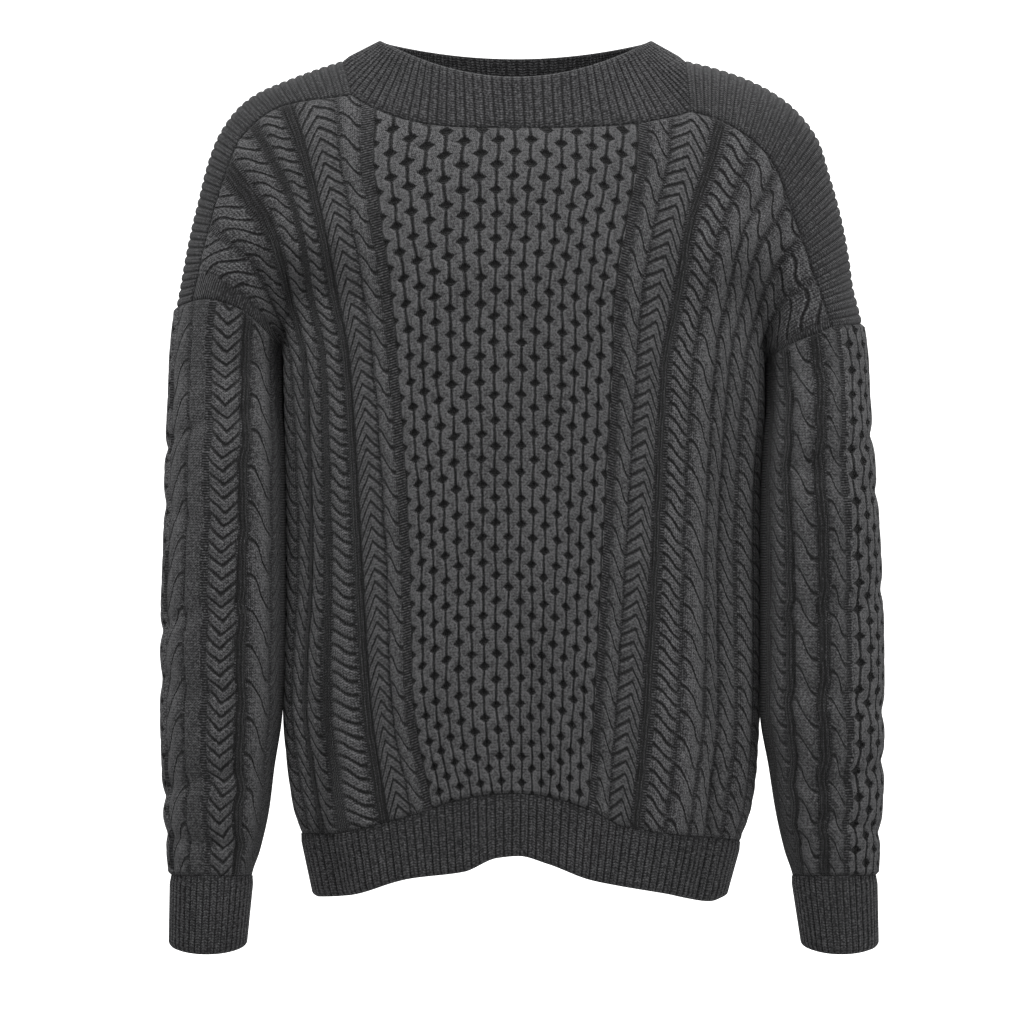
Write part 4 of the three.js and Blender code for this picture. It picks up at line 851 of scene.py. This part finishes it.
def knitMaterial(colours, stitchDepth):
    material = bpy.data.materials.new(colours["name"])
    material.use_nodes = True
    tree = material.node_tree
    tree.nodes.clear()
    values = {}
    for layer in knitMaps:
        uv = addNode(tree, "ShaderNodeUVMap", {"uv_map": layer})
        split = addNode(tree, "ShaderNodeSeparateXYZ", inputs={0: uv})
        values[layer + "X"], values[layer + "Y"] = split.outputs["X"], split.outputs["Y"]
    place = addNode(tree, "ShaderNodeTexCoord").outputs["Object"]
    # tufts of fibre about 1.8 mm wide, coarser than real ones so that they show,
    # and a slow unevenness of 40 mm
    fuzz = addNode(tree, "ShaderNodeTexNoise", inputs={"Vector": place, "Scale": 560.0, "Detail": 1.0})
    uneven = addNode(tree, "ShaderNodeTexNoise", inputs={"Vector": place, "Scale": 25.0, "Detail": 3.0})
    values["fuzz"], values["uneven"] = fuzz.outputs["Fac"], uneven.outputs["Fac"]
    cell = panel["cell"]
    steps = [
        # one stitch is a V: two legs that rise outwards from its middle
        ("across", "FRACT", "knitMapX"), ("centred", "SUBTRACT", "across", 0.5),
        ("aside", "ABSOLUTE", "centred"),
        ("legs", "PINGPONG", "aside", 0.25), ("leg", "MULTIPLY", "legs", 4.0),
        ("rise", "MULTIPLY_ADD", "aside", -1.3, "knitMapY"), ("rungs", "PINGPONG", "rise", 0.5),
        ("rung", "MULTIPLY", "rungs", 2.0), ("both", "MULTIPLY", "leg", "rung"), ("vee", "POWER", "both", 0.5),
        # a purl stitch is a short ridge across
        ("bar", "PINGPONG", "knitMapY", 0.5), ("purl", "MULTIPLY", "bar", 2.0),
        ("purlMore", "SUBTRACT", "purl", "vee"), ("stitch", "MULTIPLY_ADD", "purlMore", "kindMapY", "vee"),
        # grooves between the lobes of ropes and chevrons, in mm from their bottom
        ("lobe", "PINGPONG", "cableMapX", 0.5), ("lobeWide", "MULTIPLY", "cableMapY", 7.0),
        ("lobeMm", "MULTIPLY", "lobe", "lobeWide"),
        # hollows and lines of the honeycomb, in mm from their edge
        ("line", "ROUND", "cellMapX"), ("off", "SUBTRACT", "cellMapX", "line"), ("offMm", "ABSOLUTE", "off"),
        ("lineMm", "MULTIPLY", "offMm", cell["wide"] / 2), ("odd", "FLOORED_MODULO", "line", 2.0),
        ("row", "MULTIPLY_ADD", "odd", 0.5, "cellMapY"), ("rowOff", "PINGPONG", "row", 0.5),
        ("away", "MULTIPLY", "rowOff", cell["high"] / cell["hollowHigh"]), ("open", "SUBTRACT", 1.0, "away"),
        ("openUp", "MAXIMUM", "open", 0.0),
        ("cellEdge", "MULTIPLY_ADD", "openUp", -cell["hollowWide"], "lineMm"),
        ("notCell", "SUBTRACT", 1.0, "kindMapX"), ("cellFar", "MULTIPLY_ADD", "notCell", 20.0, "cellEdge"),
        ("smoothEdge", "MINIMUM", "cellFar", "lobeMm"), ("ragged", "MULTIPLY_ADD", "fuzz", 0.8, -0.4),
        ("edge", "ADD", "smoothEdge", "ragged"),
        # the first row of stitches beside a groove catches the light
        ("rimOff", "SUBTRACT", "edge", 2.0), ("rimFar", "ABSOLUTE", "rimOff"),
        ("rimNear", "MULTIPLY_ADD", "rimFar", -1.2, 1.0), ("rim", "MAXIMUM", "rimNear", 0.0),
    ]
    for name, operation, *inputs in steps:
        chosen = {i: values.get(value, value) if isinstance(value, str) else value
                  for i, value in enumerate(inputs)}
        values[name] = addNode(tree, "ShaderNodeMath", {"operation": operation}, chosen)
    groove = addNode(tree, "ShaderNodeMapRange", {"interpolation_type": "SMOOTHSTEP"},
                     {"Value": values["edge"], "From Min": 0.0, "From Max": garment["groove"],
                      "To Min": 0.0, "To Max": 1.0})
    values["groove"] = groove
    steps = [
        ("rough", "MULTIPLY_ADD", "fuzz", 0.5, "stitch"), ("grooveUp", "MULTIPLY", "groove", 1.1),
        ("bump", "ADD", "rough", "grooveUp"),
        # painted highlight on the tops of the relief and of each stitch, painted shade low down and in the
        # gaps between stitches
        ("tall", "MULTIPLY", "depthMapX", 0.26), ("lit", "MULTIPLY_ADD", "stitch", 0.26, "tall"),
        ("mottled", "MULTIPLY_ADD", "uneven", 0.14, "lit"), ("grain", "SUBTRACT", "fuzz", 0.30),
        ("fuzzed", "MULTIPLY_ADD", "grain", 0.8, "mottled"), ("rimmed", "MULTIPLY_ADD", "rim", 0.14, "fuzzed"),
        # painted shade: the grooves of the cables and the honeycomb hollows darken towards their bottom
        ("dark", "MULTIPLY_ADD", "groove", 0.82, 0.18), ("tone", "MULTIPLY", "rimmed", "dark"),
    ]
    for name, operation, *inputs in steps:
        chosen = {i: values.get(value, value) if isinstance(value, str) else value
                  for i, value in enumerate(inputs)}
        values[name] = addNode(tree, "ShaderNodeMath", {"operation": operation}, chosen)
    bump = addNode(tree, "ShaderNodeBump", inputs={
        "Strength": 1.0, "Distance": stitchDepth / 1000, "Height": values["bump"],
    })
    # the ramp turns the tone, painted shade and painted highlight included, into colour from low to high
    ramp = addNode(tree, "ShaderNodeValToRGB", inputs={0: values["tone"]})
    ramp.color_ramp.elements[0].position = 0.10
    ramp.color_ramp.elements[0].color = toLinear(colours["low"])
    ramp.color_ramp.elements[1].position = 0.80
    ramp.color_ramp.elements[1].color = toLinear(colours["high"])
    ramp.color_ramp.elements.new(0.42).color = toLinear(colours["middle"])
    shader = addNode(tree, "ShaderNodeBsdfPrincipled", inputs={
        "Roughness": 0.95, "Specular IOR Level": 0.15, "IOR": 1.54,
        "Sheen Weight": 0.2, "Sheen Roughness": 0.5,
        "Sheen Tint": (0.4, 0.4, 0.41, 1.0), "Base Color": ramp, "Normal": bump,
    })
    addNode(tree, "ShaderNodeOutputMaterial", inputs={"Surface": shader})
    return material


cableKnit = knitMaterial(wool["cable"], 0.9)
ribKnit = knitMaterial(wool["rib"], 0.9)

pieces = {}
for side in ("front", "back"):
    pieces[f"{side}_panel"] = makePanel(side)
for side in ("right", "left"):
    pieces[f"shoulder_strap_{side}"] = makeStrap(side)
    pieces[f"sleeve_{side}"] = makeSleeve(side)
    sleeveRing = np.concatenate([sleeveEnds[side], sleeveEnds[side][:1]])
    pieces[f"cuff_{side}"] = makeBand(f"{side}Cuff", "cuff", sleeveRing, cuffEdge(side))
pieces["collar"] = makeBand("ribCollar", "collar", neckRing(), collarRim)
pieces["hem_rib"] = makeBand("hemRib", "hemRib", hemRing(), hemEdge)

# Each piece gets the rib or cable knit material, hangs from the root body, and its part is hidden
for node, piece in pieces.items():
    ribbed = not node.endswith("panel") and not node.startswith("sleeve")
    piece.data.materials.append(ribKnit if ribbed else cableKnit)
    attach(piece, "root")
    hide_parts(node)
print("pieces are dressed")

# A plain pale studio: a round floor that turns up into a wall, beyond the camera on every side. The paper is
# evenly bright for the camera and sends no light back to the garment, which the softboxes and the room light.
studio = {"floor": -0.80, "reach": 19.0, "bend": 3.0, "top": 12.0, "sides": 96, "colour": "#fdfdfd"}


def makeStudio():
    line = [(0.02, studio["floor"])]
    for i in range(13):
        turn = math.pi / 2 * i / 12
        line.append((studio["reach"] - studio["bend"] * (1 - math.sin(turn)),
                     studio["floor"] + studio["bend"] * (1 - math.cos(turn))))
    line.append((studio["reach"], studio["top"]))
    count = studio["sides"]
    turns = [2 * math.pi * k / count for k in range(count)]
    vertices = [(r * math.cos(turn), r * math.sin(turn), z) for r, z in line for turn in turns]
    faces = [tuple(range(count))]
    for i in range(len(line) - 1):
        for k in range(count):
            after = (k + 1) % count
            faces.append((i * count + k, i * count + after, (i + 1) * count + after, (i + 1) * count + k))
    mesh = bpy.data.meshes.new("studioSweep")
    mesh.from_pydata(vertices, [], faces)
    mesh.polygons.foreach_set("use_smooth", np.ones(len(faces), bool))
    sweep = bpy.data.objects.new("studioSweep", mesh)
    bpy.context.collection.objects.link(sweep)
    paper = bpy.data.materials.new("mattPaper")  # plain matt paper, so that the ground stays even
    paper.use_nodes = True
    shader = paper.node_tree.nodes["Principled BSDF"]
    shader.inputs["Base Color"].default_value = toLinear(studio["colour"])
    shader.inputs["Roughness"].default_value = 1.0
    shader.inputs["Specular IOR Level"].default_value = 0.0
    shader.inputs["Emission Color"].default_value = toLinear(studio["colour"])
    shader.inputs["Emission Strength"].default_value = 1.0
    mesh.materials.append(paper)
    sweep.visible_diffuse = sweep.visible_glossy = sweep.visible_shadow = False


makeStudio()


def addLight(name, place, aim, size, power):
    light = bpy.data.lights.new(name, "AREA")
    light.shape = "RECTANGLE"
    light.size, light.size_y = size
    light.energy = power
    lamp = bpy.data.objects.new(name, light)
    bpy.context.collection.objects.link(lamp)
    lamp.location = place
    lamp.rotation_euler = (Vector(aim) - Vector(place)).to_track_quat("-Z", "Y").to_euler()
    return lamp


addLight("softboxTop", (-0.4, -1.6, 2.6), (0, 0, -0.25), (2.2, 1.4), 125)
addLight("softboxRight", (2.6, -2.4, 0.6), (0, 0, -0.35), (1.2, 2.0), 82)
addLight("softboxLeft", (-2.6, -2.4, 0.6), (0, 0, -0.35), (1.2, 2.0), 34)
addLight("softboxBack", (0.3, 3.2, 1.9), (0, 0, -0.35), (2.4, 1.6), 60)

world = bpy.data.worlds.new("paleRoom")
bpy.context.scene.world = world
world.use_nodes = True
world.node_tree.nodes["Background"].inputs[0].default_value = toLinear("#ffffff")
world.node_tree.nodes["Background"].inputs[1].default_value = 0.70
bpy.context.scene.view_settings.view_transform = "Standard"

# A long lens, straight on: 0.78 mm to a pixel at the garment's middle plane
view = {"away": 14.0, "x": -0.0055, "z": -0.351, "wide": 0.7987}
lens = bpy.data.cameras.new("longLens")
lens.sensor_width = 36
lens.lens = 36 * view["away"] / view["wide"]
lens.clip_end = 60
camera = bpy.data.objects.new("longLens", lens)
bpy.context.collection.objects.link(camera)
camera.location = (view["x"], -view["away"], view["z"])
camera.rotation_euler = (math.pi / 2, 0, 0)
bpy.context.scene.camera = camera
print("studio is lit")
